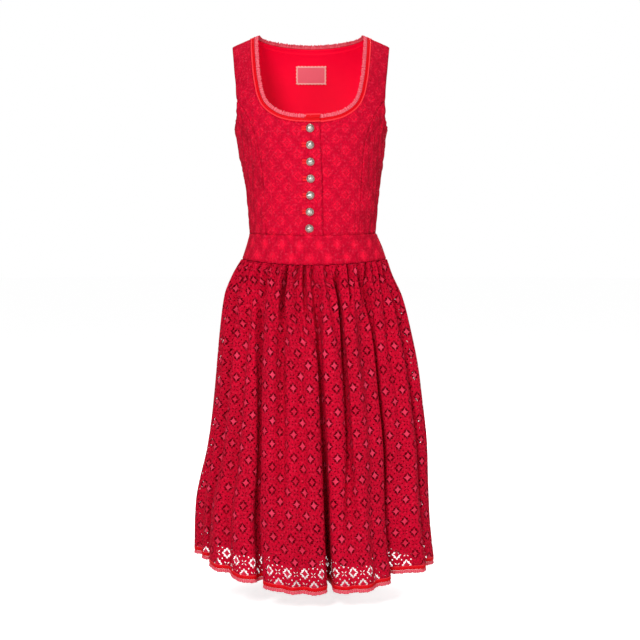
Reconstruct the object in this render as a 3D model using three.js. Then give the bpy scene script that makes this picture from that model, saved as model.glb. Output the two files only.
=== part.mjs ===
// A sleeveless lace dirndl dress, hollow as it is worn: a fitted bodice with a wide U neckline and a buttoned
// front, a shaped waistband and a gathered knee-length lace skirt over a plain skirt lining.
// Millimetres, +Z up. The front faces -Y and the wearer's right side is at -X.
// The origin is midway between the two shoulder straps, at the height where the shoulders carry them.
import * as THREE from "three";

// Cloth and seams
const BODICE_WALL = 2.2; // lace stitched on a firm ground
const BAND_WALL = 2.6;
const LACE_WALL = 1.6;
const LINING_WALL = 1.0;
const SEAM_GAP = 0.4; // between pieces that meet at a seam
const SHIFT = SEAM_GAP / 2;
const BODICE_RADIUS = 100; // rough radii that turn a seam's gap into an angle
const BAND_RADIUS = 130;
const SKIRT_RADIUS = 150;
const SHARPEST = 0.55; // limits how far a sharp fold moves the wall's inner corner

// Heights, all measured from the shoulders
const WAIST_Z = -383; // bottom of the bodice at the side seams
const WAIST_DIP = 4; // how much lower it is at the centre front
const BAND_BOTTOM_Z = -432;
const BAND_DIP_FRONT = 11;
const BAND_DIP_BACK = 4;
const HEM_Z = -1015; // lower edge of the lace at the side seams
const HEM_DIP_FRONT = 44;
const HEM_DIP_BACK = 28;
const HEM_TILT = 10; // the hem hangs lower on the wearer's left
const HEM_LIFT = 0.12; // a fold's valley draws the hem up by this share of its depth
const UNDERARM = 178; // the armhole's lowest point, below the shoulders

// Front closing
const PLACKET_TOP_X = 18; // the upper front's edge, at the neckline and at the waist
const PLACKET_WAIST_X = 20.5;
const UNDERLAP_X = -18; // edge of the under front, hidden
const PLACKET_STEP = 3; // the under front lies this much deeper
const STEP_WIDTH = 9;
const BUTTON_COUNT = 7;
const BUTTON_TOP_X = -1; // the row of buttons runs a little aslant
const BUTTON_LOW_X = -6;
const BUTTON_TOP_Z = -180;
const BUTTON_PITCH = 32;
const BUTTON_RADIUS = 8;
const BUTTON_HEIGHT = 7.5;
const BUTTON_RIM = 2.4; // height of the widest ring above the cloth

// Trims
const TRIM_GAP = 0.7; // between a panel's curved edge and its trim
const NECK_CORD_WIDTH = 7.5;
const NECK_CORD_RISE = 1.6;
const NECK_FRILL_WIDTH = 7.5;
const TRIM_WALL = 2.2;
const HEM_CORD_HEIGHT = 7;
const HEM_CORD_WALL = 2.4;
const HEM_FRILL_HEIGHT = 6.5;
const HEM_FRILL_WALL = 1.4;
const HEM_WAVE = 1.2; // how far the frill's lower edge swings in and out

// Woven label inside the back
const LABEL_WIDTH = 62;
const LABEL_HEIGHT = 37;
const LABEL_TOP_Z = -40;
const LABEL_WALL = 0.8;
const LABEL_GAP = 1.6; // the lining curves more tightly than the label

const TOP_FADE = 2.6; // how soon a panel's rows lose the shape of its top edge

// Skirt
const GATHERS = 22; // in each half
const STEPS_PER_GATHER = 4;
const LINING_COLUMNS = 42;
const LINING_EASE = 8.5; // between the lace's folds and the lining
const LINING_SPREAD = 1.45; // the lining's folds are this much wider and deeper than the lace's
const LINING_DEPTH = 1.06;
const STAR_CELLS = 27; // lace repeats round each half
const LINING_ABOVE_HEM = 32; // the skirt lining ends this much above the lace's edge
const LACE_BAND = 42; // height of the see-through border
const STAR_HALF_WIDTH = 9.3;
const STAR_HALF_HEIGHT = 10.8;
const STAR_ROW_HIGH = 24; // centres of the two rows of openings, above the lace's edge
const STAR_ROW_LOW = 3;
const NOTCH_WIDTH = 0.96; // a low opening's width where the lace's edge cuts it
const FULL_DROP = 600; // length of the lace at the side seams, the scale of skirtSections

const COLOURS = {
  lace: { color: 0xb51230, roughness: 0.85, metalness: 0 },
  band: { color: 0xd0163a, roughness: 0.85, metalness: 0 },
  lining: { color: 0xe6002c, roughness: 0.6, metalness: 0 },
  cord: { color: 0xd8101c, roughness: 0.55, metalness: 0 },
  frill: { color: 0xf08a92, roughness: 0.8, metalness: 0 },
  label: { color: 0xd97f86, roughness: 0.9, metalness: 0 },
  silver: { color: 0xb9b3a8, roughness: 0.35, metalness: 1 },
};

// Torso: half width, and depth in front of and behind the side seams, by distance below the shoulder line
const torsoSections = [
  { below: 0, half: 175, front: 0, back: 0 },
  { below: 6, half: 175, front: 24, back: 23 },
  { below: 20, half: 175, front: 44, back: 42 },
  { below: 50, half: 175, front: 69, back: 68 },
  { below: 90, half: 174, front: 90, back: 86 },
  { below: 130, half: 168, front: 104, back: 95 },
  { below: UNDERARM, half: 152, front: 112, back: 100 },
  { below: 215, half: 146, front: 113, back: 99 },
  { below: 300, half: 132, front: 102, back: 91 },
  { below: 400, half: 123.5, front: 92, back: 85 },
];

// Bust fullness that the princess seams give, added to the front depth
const BUST = { x: 78, below: 208, out: 9, wide: 46, tall: 62 };

// Shoulder line: its height falls away from the neck
const SHOULDER = { centre: 38.6, slope: 0.477, round: 60, fadeFrom: 60, fadeTo: 170 };

// The waist stands a little to the wearer's left of the shoulders
const LEAN = { by: 3.5, from: 175, to: 300 };

const NECK_TURN_X = 107; // above this point of the neckline the strap begins

// Neckline of the front, from the centre to the shoulder seam, in front view
const frontNeck = [
  { x: 0, z: -169 },
  { x: 30, z: -167.5 },
  { x: 57, z: -162 },
  { x: 79, z: -150.5 },
  { x: 96, z: -134 },
  { x: NECK_TURN_X, z: -109 },
  { x: 113, z: -76 },
  { x: 117, z: -38 },
  { x: 119, z: -12 },
  { x: 120, z: 6 },
];

// Columns of a front: where each meets the neckline and the waist
const frontColumns = [
  { neck: 34, waist: 34 },
  { neck: 57, waist: 48 },
  { neck: 76, waist: 59 },
  { neck: 90, waist: 67 },
  { neck: 100, waist: 73 },
  { neck: NECK_TURN_X, waist: 78 },
];

// Neckline of the back, from the centre to the shoulder seam
const backNeck = [
  { x: 0, z: -17.5 },
  { x: 40, z: -16 },
  { x: 80, z: -11 },
  { x: 106, z: -3 },
  { x: 120, z: 6 },
];
const BACK_NECK_STEPS = 5;

// Armholes: angle round the torso from the centre front or centre back, in degrees
const frontArmhole = [
  { below: 0, angle: 63 },
  { below: 45, angle: 60 },
  { below: 88, angle: 58 },
  { below: 120, angle: 58.5 },
  { below: 148, angle: 64 },
  { below: 168, angle: 75 },
  { below: UNDERARM, angle: 90 },
];
const backArmhole = [
  { below: 0, angle: 63 },
  { below: 45, angle: 61 },
  { below: 88, angle: 60 },
  { below: 120, angle: 61 },
  { below: 148, angle: 66 },
  { below: 168, angle: 77 },
  { below: UNDERARM, angle: 90 },
];

// Princess seams from the waist up to the armhole, in front view
const frontPrincess = [
  { below: 120, x: 143 },
  { below: 145, x: 129 },
  { below: 180, x: 113 },
  { below: 230, x: 101 },
  { below: 300, x: 95 },
  { below: 400, x: 91 },
];
const backPrincess = [
  { below: 120, x: 146 },
  { below: 145, x: 122 },
  { below: 180, x: 98 },
  { below: 230, x: 80 },
  { below: 300, x: 66 },
  { below: 400, x: 56 },
];
const PRINCESS_TOP = 120;
const PRINCESS_STEPS = 7;
const ARMHOLE_STEPS = 9;
const BACK_ARMHOLE_STEPS = 7;
const SHOULDER_STEPS = 3;
const SHOULDER_ROOT = 0.04; // the shoulder line itself, just clear of zero
const CROWDING = 1.5; // points stand closer together towards the shoulder

// Waistband outline at its top and bottom: half widths to each side, depth in front and behind
const bandSections = [
  { share: 0, left: 121.5, right: 130, front: 93, back: 86 },
  { share: 0.5, left: 128.5, right: 141, front: 98, back: 97 },
  { share: 1, left: 137, right: 150, front: 103, back: 108 },
];

// Skirt outline over its outer folds, by drop below the waistband, and the depth of its small gathers
const skirtSections = [
  { drop: 0, left: 139, right: 152, front: 108, back: 113, gather: 14 },
  { drop: 12, left: 146, right: 156, front: 113, back: 120, gather: 17 },
  { drop: 30, left: 156, right: 164, front: 118, back: 127, gather: 15 },
  { drop: 75, left: 173, right: 185, front: 128, back: 142, gather: 8 },
  { drop: 145, left: 182, right: 202, front: 139, back: 159, gather: 3 },
  { drop: 265, left: 192, right: 222, front: 151, back: 177, gather: 0 },
  { drop: 385, left: 206, right: 234, front: 161, back: 190, gather: 0 },
  { drop: 505, left: 230, right: 238, front: 170, back: 200, gather: 0 },
  { drop: 600, left: 234, right: 249, front: 176, back: 206, gather: 0 },
];

// Deep folds: where each valley stands at the waistband and at the hem, in degrees from the centre front,
// its depth at the waistband, half-way down and at the hem, and its half width in degrees
const skirtFolds = [
  { top: -38, hem: -26.5, high: 18, middle: 34, low: 46, wide: 5 },
  { top: 3.5, hem: 9.5, high: 14, middle: 42, low: 92, wide: 4.6 },
  { top: 20, hem: 21, high: 28, middle: 17, low: 3, wide: 3.8 },
  { top: 40, hem: 45, high: 17, middle: 45, low: 84, wide: 5.2 },
  { top: 66, hem: 72, high: 14, middle: 25, low: 37, wide: 5.2 },
  { top: 104, hem: 107, high: 14, middle: 36, low: 58, wide: 5.8 },
  { top: 138, hem: 140, high: 16, middle: 42, low: 68, wide: 5.8 },
  { top: 172, hem: 175, high: 16, middle: 46, low: 76, wide: 5.8 },
  { top: 207, hem: 211, high: 16, middle: 42, low: 68, wide: 5.8 },
  { top: 243, hem: 245, high: 14, middle: 36, low: 56, wide: 5.8 },
  { top: -60, hem: -63, high: 14, middle: 20, low: 28, wide: 5.2 },
  { top: -21, hem: -14, high: 22, middle: 11, low: 5, wide: 3.8 },
];

const RAD = Math.PI / 180;
const QUARTER = Math.PI / 2;

const mix = (a, b, share) => a + (b - a) * share;
const smooth = (from, to, value) => {
  const share = THREE.MathUtils.clamp((value - from) / (to - from), 0, 1);
  return share * share * (3 - 2 * share);
};
const steps = (count) => Array.from({ length: count + 1 }, (_, i) => i / count);

// A column of a table at a place between its rows, on a smooth curve that doesn't overshoot
function read(table, key, column, at) {
  const last = table.length - 1;
  const rising = table[last][key] > table[0][key] ? 1 : -1;
  const [first, end] = [table[0][key] * rising, table[last][key] * rising];
  const place = THREE.MathUtils.clamp(at * rising, first, end) * rising;
  let i = 0;
  while (i < last - 1 && (place - table[i + 1][key]) * rising > 0) i++;
  const rate = (j) => (table[j + 1][column] - table[j][column]) / (table[j + 1][key] - table[j][key]);
  const slopeAt = (j) => {
    if (j === 0) return rate(0);
    if (j === last) return rate(last - 1);
    const before = rate(j - 1);
    const after = rate(j);
    return before * after <= 0 ? 0 : (2 * before * after) / (before + after);
  };
  const span = table[i + 1][key] - table[i][key];
  const s = (place - table[i][key]) / span;
  const a = table[i][column];
  const b = table[i + 1][column];
  const inward = slopeAt(i) * span;
  const outward = slopeAt(i + 1) * span;
  return a + s * (inward + s * (3 * (b - a) - 2 * inward - outward + s * (2 * (a - b) + inward + outward)));
}

// The torso's table is read by the root of the distance, because its depth grows that way over the shoulder
const torsoByRoot = torsoSections.map((row) => ({ ...row, root: Math.sqrt(row.below) }));

function shoulderHeight(x) {
  return SHOULDER.centre - SHOULDER.slope * (Math.hypot(x, SHOULDER.round) - SHOULDER.round);
}

function heightAt(x, below) {
  return shoulderHeight(x) * (1 - smooth(SHOULDER.fadeFrom, SHOULDER.fadeTo, below)) - below;
}

// How far below the shoulder line a point of the front view lies
function belowAt(x, z) {
  const rounds = 30;
  let below = Math.max(0, -z);
  for (let i = 0; i < rounds; i++) {
    below = Math.max(0, shoulderHeight(x) * (1 - smooth(SHOULDER.fadeFrom, SHOULDER.fadeTo, below)) - z);
  }
  return below;
}

const leanAt = (below) => LEAN.by * smooth(LEAN.from, LEAN.to, below);

function bustAt(x, below) {
  const across = (Math.abs(x) - BUST.x) / BUST.wide;
  const up = (below - BUST.below) / BUST.tall;
  return BUST.out * Math.exp(-across * across - up * up);
}

// How far a place lies from the torso's centre line
const acrossAt = ({ angle, root }) => read(torsoByRoot, "root", "half", root) * Math.sin(angle);

// A point of the torso: angle from the centre front, root of the distance below the shoulder line
function torsoPoint({ angle, root }) {
  const below = root * root;
  const x = acrossAt({ angle, root });
  const facing = Math.cos(angle);
  const depth = facing > 0 ? "front" : "back";
  let y = -facing * read(torsoByRoot, "root", depth, root);
  if (facing > 0) y -= bustAt(x, below) * Math.min(1, facing * 2);
  return new THREE.Vector3(x + leanAt(below), y, heightAt(x, below));
}

function torsoNormal({ angle, root }) {
  const nudge = 0.004;
  const low = Math.max(root - 0.05, 0.001);
  const across = torsoPoint({ angle: angle + nudge, root }).sub(torsoPoint({ angle: angle - nudge, root }));
  const down = torsoPoint({ angle, root: root + 0.05 }).sub(torsoPoint({ angle, root: low }));
  return down.cross(across).normalize();
}

function onTorso(place, out) {
  return torsoPoint(place).addScaledVector(torsoNormal(place), out);
}

// A place on the torso at a height and a distance from its leaning centre line; side is -1 for the back
function torsoPlace(x, z, side) {
  const below = belowAt(x, z);
  const root = Math.max(Math.sqrt(below), SHOULDER_ROOT);
  const turn = Math.asin(THREE.MathUtils.clamp(x / read(torsoByRoot, "root", "half", root), -1, 1));
  return { angle: side > 0 ? turn : Math.PI - turn, root };
}

// A closed wall between an outer and an inner grid of points; a grid may have empty places
function wallGeometry(outer, inner) {
  const mesh = new MeshBuilder();
  const open = new Map();
  const side = (a, b) => {
    const back = `${b} ${a}`;
    if (open.has(back)) open.delete(back);
    else open.set(`${a} ${b}`, [a, b]);
  };
  for (let i = 0; i < outer.length - 1; i++) {
    for (let j = 0; j < outer[0].length - 1; j++) {
      const corners = [[i, j], [i, j + 1], [i + 1, j + 1], [i + 1, j]];
      if (corners.some(([r, c]) => !outer[r][c])) continue;
      mesh.quad(...corners.map(([r, c]) => outer[r][c]));
      const [a, b, c, d] = corners.map(([r, k]) => inner[r][k]);
      mesh.quad(a, d, c, b);
      corners.forEach((corner, k) => side(corner, corners[(k + 1) % 4]));
    }
  }
  for (const [[i, j], [k, l]] of open.values()) mesh.quad(outer[k][l], outer[i][j], inner[i][j], inner[k][l]);
  return mesh.geometry();
}

// Collects triangles and turns them so that the closed surface faces out
class MeshBuilder {
  corners = [];
  triangle(a, b, c) {
    this.corners.push(a, b, c);
  }
  quad(a, b, c, d) {
    this.triangle(a, b, c);
    this.triangle(a, c, d);
  }
  geometry() {
    let volume = 0;
    for (let i = 0; i < this.corners.length; i += 3) {
      const [a, b, c] = this.corners.slice(i, i + 3);
      volume += a.dot(new THREE.Vector3().crossVectors(b, c));
    }
    if (volume < 0) {
      for (let i = 0; i < this.corners.length; i += 3) {
        [this.corners[i + 1], this.corners[i + 2]] = [this.corners[i + 2], this.corners[i + 1]];
      }
    }
    const geometry = new THREE.BufferGeometry().setFromPoints(this.corners);
    geometry.computeVertexNormals();
    return geometry;
  }
}

const dress = new THREE.Group();
const materials = Object.fromEntries(
  Object.entries(COLOURS).map(([name, look]) => [name, new THREE.MeshStandardMaterial(look)]),
);

function add(name, geometry, material) {
  const mesh = new THREE.Mesh(geometry, materials[material]);
  mesh.name = name;
  dress.add(mesh);
  return mesh;
}

// A wall on the torso over a grid of places, between two distances out from the form
function torsoWall(places, outerAt, innerAt) {
  const layer = (outAt) => places.map((row) => row.map((place) => place && onTorso(place, outAt(place))));
  return wallGeometry(layer(outerAt), layer(innerAt));
}

const flush = () => 0;
const wallDeep = () => -BODICE_WALL;

// Places inside four edges that share their corners
function inside(bottom, top, left, right) {
  const width = bottom.at(-1).angle - bottom[0].angle;
  return left.map((l, i) => {
    const v = i / (left.length - 1);
    return bottom.map((b, j) => {
      const u = (b.angle - bottom[0].angle) / width;
      const bend = (edge, key) => edge[j][key] - mix(edge[0][key], edge.at(-1)[key], u);
      const blend = (key) =>
        mix(l[key], right[i][key], u) + bend(bottom, key) * (1 - v) + bend(top, key) * v ** TOP_FADE;
      return { angle: blend("angle"), root: blend("root") };
    });
  });
}

// The bodice's lower edge at an angle
function waistBelow(angle) {
  const facing = Math.max(0, Math.cos(angle));
  return -WAIST_Z + WAIST_DIP * facing * facing;
}

function waistPlace(x, side) {
  const place = torsoPlace(x, WAIST_Z, side);
  return { angle: place.angle, root: Math.sqrt(waistBelow(place.angle)) };
}

// Points along a front-view curve, closer together towards its end at the shoulder
function alongCurve(table, count) {
  const points = table.map(({ x, z }) => new THREE.Vector3(x, 0, z));
  const curve = new THREE.CatmullRomCurve3(points, false, "centripetal");
  return steps(count).map((share) => {
    const p = curve.getPointAt(1 - (1 - share) ** CROWDING);
    return { x: p.x, z: p.z };
  });
}

// The same curve moved sideways in the front view, towards the opening
function movedCurve(points, distance) {
  return points.map((p, i) => {
    const before = points[Math.max(0, i - 1)];
    const after = points[Math.min(points.length - 1, i + 1)];
    const dx = after.x - before.x;
    const dz = after.z - before.z;
    const length = Math.hypot(dx, dz);
    if (i === points.length - 1) {
      const x = p.x - distance;
      return { x, z: shoulderHeight(x) };
    }
    return { x: p.x - (dz / length) * distance, z: p.z + (dx / length) * distance };
  });
}

// Mirrors places to the wearer's other side
const mirroredPlace = (place) => place && { angle: -place.angle, root: place.root };
const mirrored = (places) => places.map((row) => row.map(mirroredPlace));

// Edges that pieces share, given for the +X side
function princessEdge(table, armhole, side, shift) {
  const lowest = Math.sqrt(-WAIST_Z);
  const highest = Math.sqrt(PRINCESS_TOP);
  return steps(PRINCESS_STEPS).map((share) => {
    const root = mix(lowest, highest, share);
    const x = read(table, "below", "x", root * root) + shift;
    const half = read(torsoByRoot, "root", "half", root);
    const armholeAngle = read(armhole, "below", "angle", root * root) * RAD;
    const lean = Math.min(Math.asin(x / half), armholeAngle + shift / half);
    const angle = side > 0 ? lean : Math.PI - lean;
    return { angle, root: share === 0 ? Math.sqrt(waistBelow(angle)) : root };
  });
}

// From the princess seam up to the shoulder, closer together where the cloth turns over it
function armholeEdge(armhole, side, count) {
  return steps(count).map((share) => {
    const root = mix(Math.sqrt(PRINCESS_TOP), SHOULDER_ROOT, share);
    const lean = read(armhole, "below", "angle", root * root) * RAD;
    return { angle: side > 0 ? lean : Math.PI - lean, root };
  });
}

// The front neckline from a given x to the shoulder seam, through the columns of that front
function neckFrom(columns) {
  const low = columns.map(({ neck }) => ({ x: neck, z: read(frontNeck, "x", "z", Math.abs(neck)) }));
  const turn = frontNeck.findIndex(({ x }) => x === NECK_TURN_X);
  return [...low, ...alongCurve(frontNeck.slice(turn), ARMHOLE_STEPS).slice(1)];
}

// How much deeper the under front lies near the closing
const STEP_START = PLACKET_WAIST_X + 2;

function underlap(place) {
  return -PLACKET_STEP * (1 - smooth(STEP_START, STEP_START + STEP_WIDTH, acrossAt(place)));
}

// One front in the +X half: its columns rise from the waist to the neckline or, at the side, up the strap
function frontPlaces(columns) {
  const seam = princessEdge(frontPrincess, frontArmhole, 1, -SHIFT);
  const armhole = armholeEdge(frontArmhole, 1, ARMHOLE_STEPS);
  const neck = neckFrom(columns).map(({ x, z }) => torsoPlace(x, z, 1));
  const turn = neck[columns.length - 1];
  const across = (from, to, u) => ({ angle: mix(from.angle, to.angle, u), root: mix(from.root, to.root, u) });
  const strap = steps(SHOULDER_STEPS).slice(1);
  const top = [...neck.slice(0, columns.length), ...strap.map((u) => across(turn, seam.at(-1), u))];
  const lastWaist = waistPlace(columns.at(-1).waist, 1);
  const bottom = [
    ...columns.map(({ waist }) => waistPlace(waist, 1)),
    ...strap.map((u) => across(lastWaist, seam[0], u)),
  ];
  const edge = steps(PRINCESS_STEPS).map((v) => {
    const { neck: atNeck, waist: atWaist } = columns[0];
    const z = mix(WAIST_Z - WAIST_DIP, read(frontNeck, "x", "z", Math.abs(atNeck)), v);
    return torsoPlace(mix(atWaist, atNeck, v), z, 1);
  });
  edge[0] = bottom[0];
  const lower = inside(bottom, top, edge, seam);
  const empty = columns.slice(1).map(() => null);
  const upper = armhole.slice(1).map((far, i) => {
    const near = neck[columns.length + i];
    return [...empty, ...steps(SHOULDER_STEPS).map((u) => across(near, far, u))];
  });
  return [...lower, ...upper];
}

const overColumns = [
  { neck: -PLACKET_TOP_X, waist: -PLACKET_WAIST_X },
  { neck: 8, waist: 6 },
  ...frontColumns,
];
const underColumns = [
  { neck: UNDERLAP_X, waist: UNDERLAP_X },
  { neck: STEP_START, waist: STEP_START },
  ...frontColumns,
];

function buildFronts() {
  add("front_right", torsoWall(mirrored(frontPlaces(overColumns)), flush, wallDeep), "lace");
  const under = torsoWall(frontPlaces(underColumns), underlap, (place) => underlap(place) - BODICE_WALL);
  add("front_left", under, "lace");
}

function buildSidePanels() {
  for (const [name, side, princess, armhole] of [
    ["side_front", 1, frontPrincess, frontArmhole],
    ["side_back", -1, backPrincess, backArmhole],
  ]) {
    const inner = princessEdge(princess, armhole, side, SHIFT);
    const last = inner.length - 1;
    const seamAngle = QUARTER - (side * SHIFT) / BODICE_RADIUS;
    const outer = inner.map((place, i) => ({
      angle: seamAngle,
      root: mix(Math.sqrt(-WAIST_Z), Math.sqrt(UNDERARM), i / last),
    }));
    const top = steps(5).map((share) => {
      const below = mix(PRINCESS_TOP, UNDERARM, share);
      const lean = Math.min(read(armhole, "below", "angle", below) * RAD, QUARTER - SHIFT / BODICE_RADIUS);
      return { angle: side > 0 ? lean : Math.PI - lean, root: Math.sqrt(below) };
    });
    top[0] = inner[last];
    const bottom = steps(5).map((share) => {
      const angle = mix(inner[0].angle, seamAngle, share);
      return { angle, root: Math.sqrt(waistBelow(angle)) };
    });
    const places = inside(bottom, top, inner, outer);
    add(`${name}_left`, torsoWall(places, flush, wallDeep), "lace");
    add(`${name}_right`, torsoWall(mirrored(places), flush, wallDeep), "lace");
  }
}

// The back neckline and shoulders, from one shoulder tip to the other
function backTop(tipAngle) {
  const neck = alongCurve(backNeck, BACK_NECK_STEPS).map(({ x, z }) => torsoPlace(x, z, -1));
  const corner = neck.at(-1);
  const half = [
    ...neck,
    ...steps(SHOULDER_STEPS)
      .slice(1)
      .map((share) => ({ angle: mix(corner.angle, Math.PI - tipAngle, share), root: SHOULDER_ROOT })),
  ];
  return [...half.slice(1).reverse(), ...half.map(acrossBack)];
}

// The same place on the wearer's other side, with the angle kept running round the back
const acrossBack = ({ angle, root }) => ({ angle: 2 * Math.PI - angle, root });

function backPatch() {
  const edge = [
    ...princessEdge(backPrincess, backArmhole, -1, -SHIFT),
    ...armholeEdge(backArmhole, -1, BACK_ARMHOLE_STEPS).slice(1),
  ];
  const top = backTop(backArmhole[0].angle * RAD);
  const bottom = steps(top.length - 1).map((share) => {
    const angle = mix(edge[0].angle, 2 * Math.PI - edge[0].angle, share);
    return { angle, root: Math.sqrt(waistBelow(angle)) };
  });
  return inside(bottom, top, edge, edge.map(acrossBack));
}

// The centre back panel, its lining and the label on that
function buildBack() {
  const places = backPatch();
  add("back_centre", torsoWall(places, flush, wallDeep), "lace");
  const liningOut = -(BODICE_WALL + SEAM_GAP);
  add("back_lining", torsoWall(places, () => liningOut, () => liningOut - LINING_WALL), "lining");
  const labelOut = liningOut - LINING_WALL - LABEL_GAP;
  const rows = steps(3).map((down) =>
    steps(4).map((across) =>
      torsoPlace(mix(-LABEL_WIDTH / 2, LABEL_WIDTH / 2, across), LABEL_TOP_Z - LABEL_HEIGHT * down, -1),
    ),
  );
  add("neck_label", torsoWall(rows, () => labelOut, () => labelOut - LABEL_WALL), "label");
}

// A strip beside the neckline, between two distances from it, with its middle raised
function neckStrip(curve, near, far, side, out, rise) {
  const lines = steps(rise > 0 ? 2 : 1).map((share) => movedCurve(curve, mix(near, far, share)));
  const crown = (line) => (rise > 0 && line === 1 ? rise : 0);
  const layer = (offset, raised) =>
    curve.map((_, i) =>
      lines.map((line, j) => {
        const place = torsoPlace(line[i].x, line[i].z, side);
        const lowered = out(place);
        return onTorso(place, lowered + offset + raised * crown(j) * (1 + lowered / PLACKET_STEP));
      }),
    );
  return wallGeometry(layer(0, 1), layer(-TRIM_WALL, 0));
}

function flip(geometry) {
  const turned = geometry.clone().scale(-1, 1, 1);
  const corners = turned.getAttribute("position");
  const mesh = new MeshBuilder();
  const corner = (i) => new THREE.Vector3().fromBufferAttribute(corners, i);
  for (let i = 0; i < corners.count; i += 3) mesh.triangle(corner(i), corner(i + 2), corner(i + 1));
  return mesh.geometry();
}

function buildNeckTrims() {
  const cord = { near: TRIM_GAP, far: TRIM_GAP + NECK_CORD_WIDTH, rise: NECK_CORD_RISE, look: "cord" };
  const frillNear = cord.far + SEAM_GAP;
  const frill = { near: frillNear, far: frillNear + NECK_FRILL_WIDTH, rise: 0, look: "frill" };
  for (const [name, strip] of Object.entries({ neck_cord: cord, neck_frill: frill })) {
    const over = neckStrip(neckFrom(overColumns), strip.near, strip.far, 1, flush, strip.rise);
    add(`${name}_right`, flip(over), strip.look);
    const under = neckStrip(neckFrom(underColumns), strip.near, strip.far, 1, underlap, strip.rise);
    add(`${name}_left`, under, strip.look);
    const half = alongCurve(backNeck, BACK_NECK_STEPS);
    const whole = [...half.slice(1).reverse().map(({ x, z }) => ({ x: -x, z })), ...half];
    add(`${name}_back`, backNeckStrip(whole, strip), strip.look);
  }
}

// The back neckline's strip runs from shoulder to shoulder
function backNeckStrip(whole, strip) {
  const lift = (p, distance) => {
    const reach = Math.abs(p.x) / backNeck.at(-1).x;
    const x = p.x * (1 - (distance / backNeck.at(-1).x) * reach ** 3);
    const z = reach > 0.999 ? shoulderHeight(x) : p.z + distance * (1 - 0.55 * reach ** 4);
    return torsoPlace(x, z, -1);
  };
  const lines = strip.rise > 0 ? [0, 0.5, 1] : [0, 1];
  const layer = (base, raised) =>
    whole.map((p) =>
      lines.map((share) => {
        const crown = share === 0.5 ? strip.rise * raised : 0;
        return onTorso(lift(p, mix(strip.near, strip.far, share)), base + crown);
      }),
    );
  return wallGeometry(layer(0, 1), layer(-TRIM_WALL, 0));
}

function buildButtons() {
  const dome = BUTTON_HEIGHT - BUTTON_RIM;
  const profile = [
    new THREE.Vector2(0, SEAM_GAP),
    new THREE.Vector2(BUTTON_RADIUS * 0.85, BUTTON_RIM * 0.6),
    new THREE.Vector2(BUTTON_RADIUS, BUTTON_RIM),
    new THREE.Vector2(BUTTON_RADIUS * 0.84, BUTTON_RIM + dome * 0.54),
    new THREE.Vector2(BUTTON_RADIUS * 0.48, BUTTON_RIM + dome * 0.88),
    new THREE.Vector2(0, BUTTON_HEIGHT),
  ];
  for (let i = 0; i < BUTTON_COUNT; i++) {
    const x = mix(BUTTON_TOP_X, BUTTON_LOW_X, i / (BUTTON_COUNT - 1));
    const place = torsoPlace(x, BUTTON_TOP_Z - BUTTON_PITCH * i, 1);
    const button = add(`button_${i + 1}`, new THREE.LatheGeometry(profile, 10), "silver");
    button.position.copy(torsoPoint(place));
    button.quaternion.setFromUnitVectors(new THREE.Vector3(0, 1, 0), torsoNormal(place));
  }
}

// Point on a ring whose half widths and depths differ to each side, with its outward direction
function ringPoint(row, angle, out) {
  const across = Math.sin(angle);
  const facing = Math.cos(angle);
  const half = across > 0 ? row.right : row.left;
  const depth = facing > 0 ? row.front : row.back;
  const normal = new THREE.Vector3(across / half, -facing / depth, 0).normalize();
  return new THREE.Vector3(half * across, -depth * facing, 0).addScaledVector(normal, out);
}

function dipAt(angle, front, back) {
  const facing = Math.cos(angle);
  return (facing > 0 ? front : back) * facing * facing;
}

const bandBottomAt = (angle) => BAND_BOTTOM_Z - dipAt(angle, BAND_DIP_FRONT, BAND_DIP_BACK);
const bandTopAt = (angle) => WAIST_Z - dipAt(angle, WAIST_DIP, 0) - SEAM_GAP;
const hemAt = (angle) => HEM_Z - dipAt(angle, HEM_DIP_FRONT, HEM_DIP_BACK) - HEM_TILT * Math.sin(angle);

// The two halves of the band and skirt, between the side seams, in degrees from the centre front
const HALVES = [
  { name: "front", from: -90, to: 90 },
  { name: "back", from: 90, to: 270 },
];

function bandPoint(angle, share, out) {
  const row = {};
  for (const key of ["left", "right", "front", "back"]) row[key] = read(bandSections, "share", key, share);
  const point = ringPoint(row, angle, out);
  point.z = mix(bandTopAt(angle), bandBottomAt(angle), share);
  return point;
}

function buildBand() {
  const inset = SHIFT / BAND_RADIUS;
  for (const half of HALVES) {
    const layer = (out) =>
      steps(3).map((share) =>
        steps(20).map((across) =>
          bandPoint(mix(half.from * RAD + inset, half.to * RAD - inset, across), share, out),
        ),
      );
    add(`waistband_${half.name}`, wallGeometry(layer(0), layer(-BAND_WALL)), "band");
  }
}

function skirtRow(share) {
  const drop = share * FULL_DROP;
  const row = {};
  for (const key of ["left", "right", "front", "back", "gather"]) {
    row[key] = read(skirtSections, "drop", key, drop);
  }
  return row;
}

// How far the deep folds draw the cloth in, at an angle in radians; spread widens the valleys
function foldDepth(angle, share, spread) {
  let depth = 0;
  for (const fold of skirtFolds) {
    const centre = mix(fold.top, fold.hem, share);
    const turn = ((angle / RAD - centre + 540) % 360) - 180;
    const upper = mix(fold.high, fold.middle, smooth(0, 0.5, share));
    const deep = mix(upper, fold.low, smooth(0.5, 1, share));
    const settle = smooth(0, 0.08, share);
    depth += deep * settle * Math.exp(-((turn / (fold.wide * spread)) ** 2));
  }
  return depth;
}

// The angle of a thread of the cloth: evenly gathered at the waistband, spaced by the folds' length below it
const RING_SAMPLES = 720;
const EVEN_FROM = 0.3; // share of the length from which the threads are spaced by the folds
const ringCache = new Map();

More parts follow.
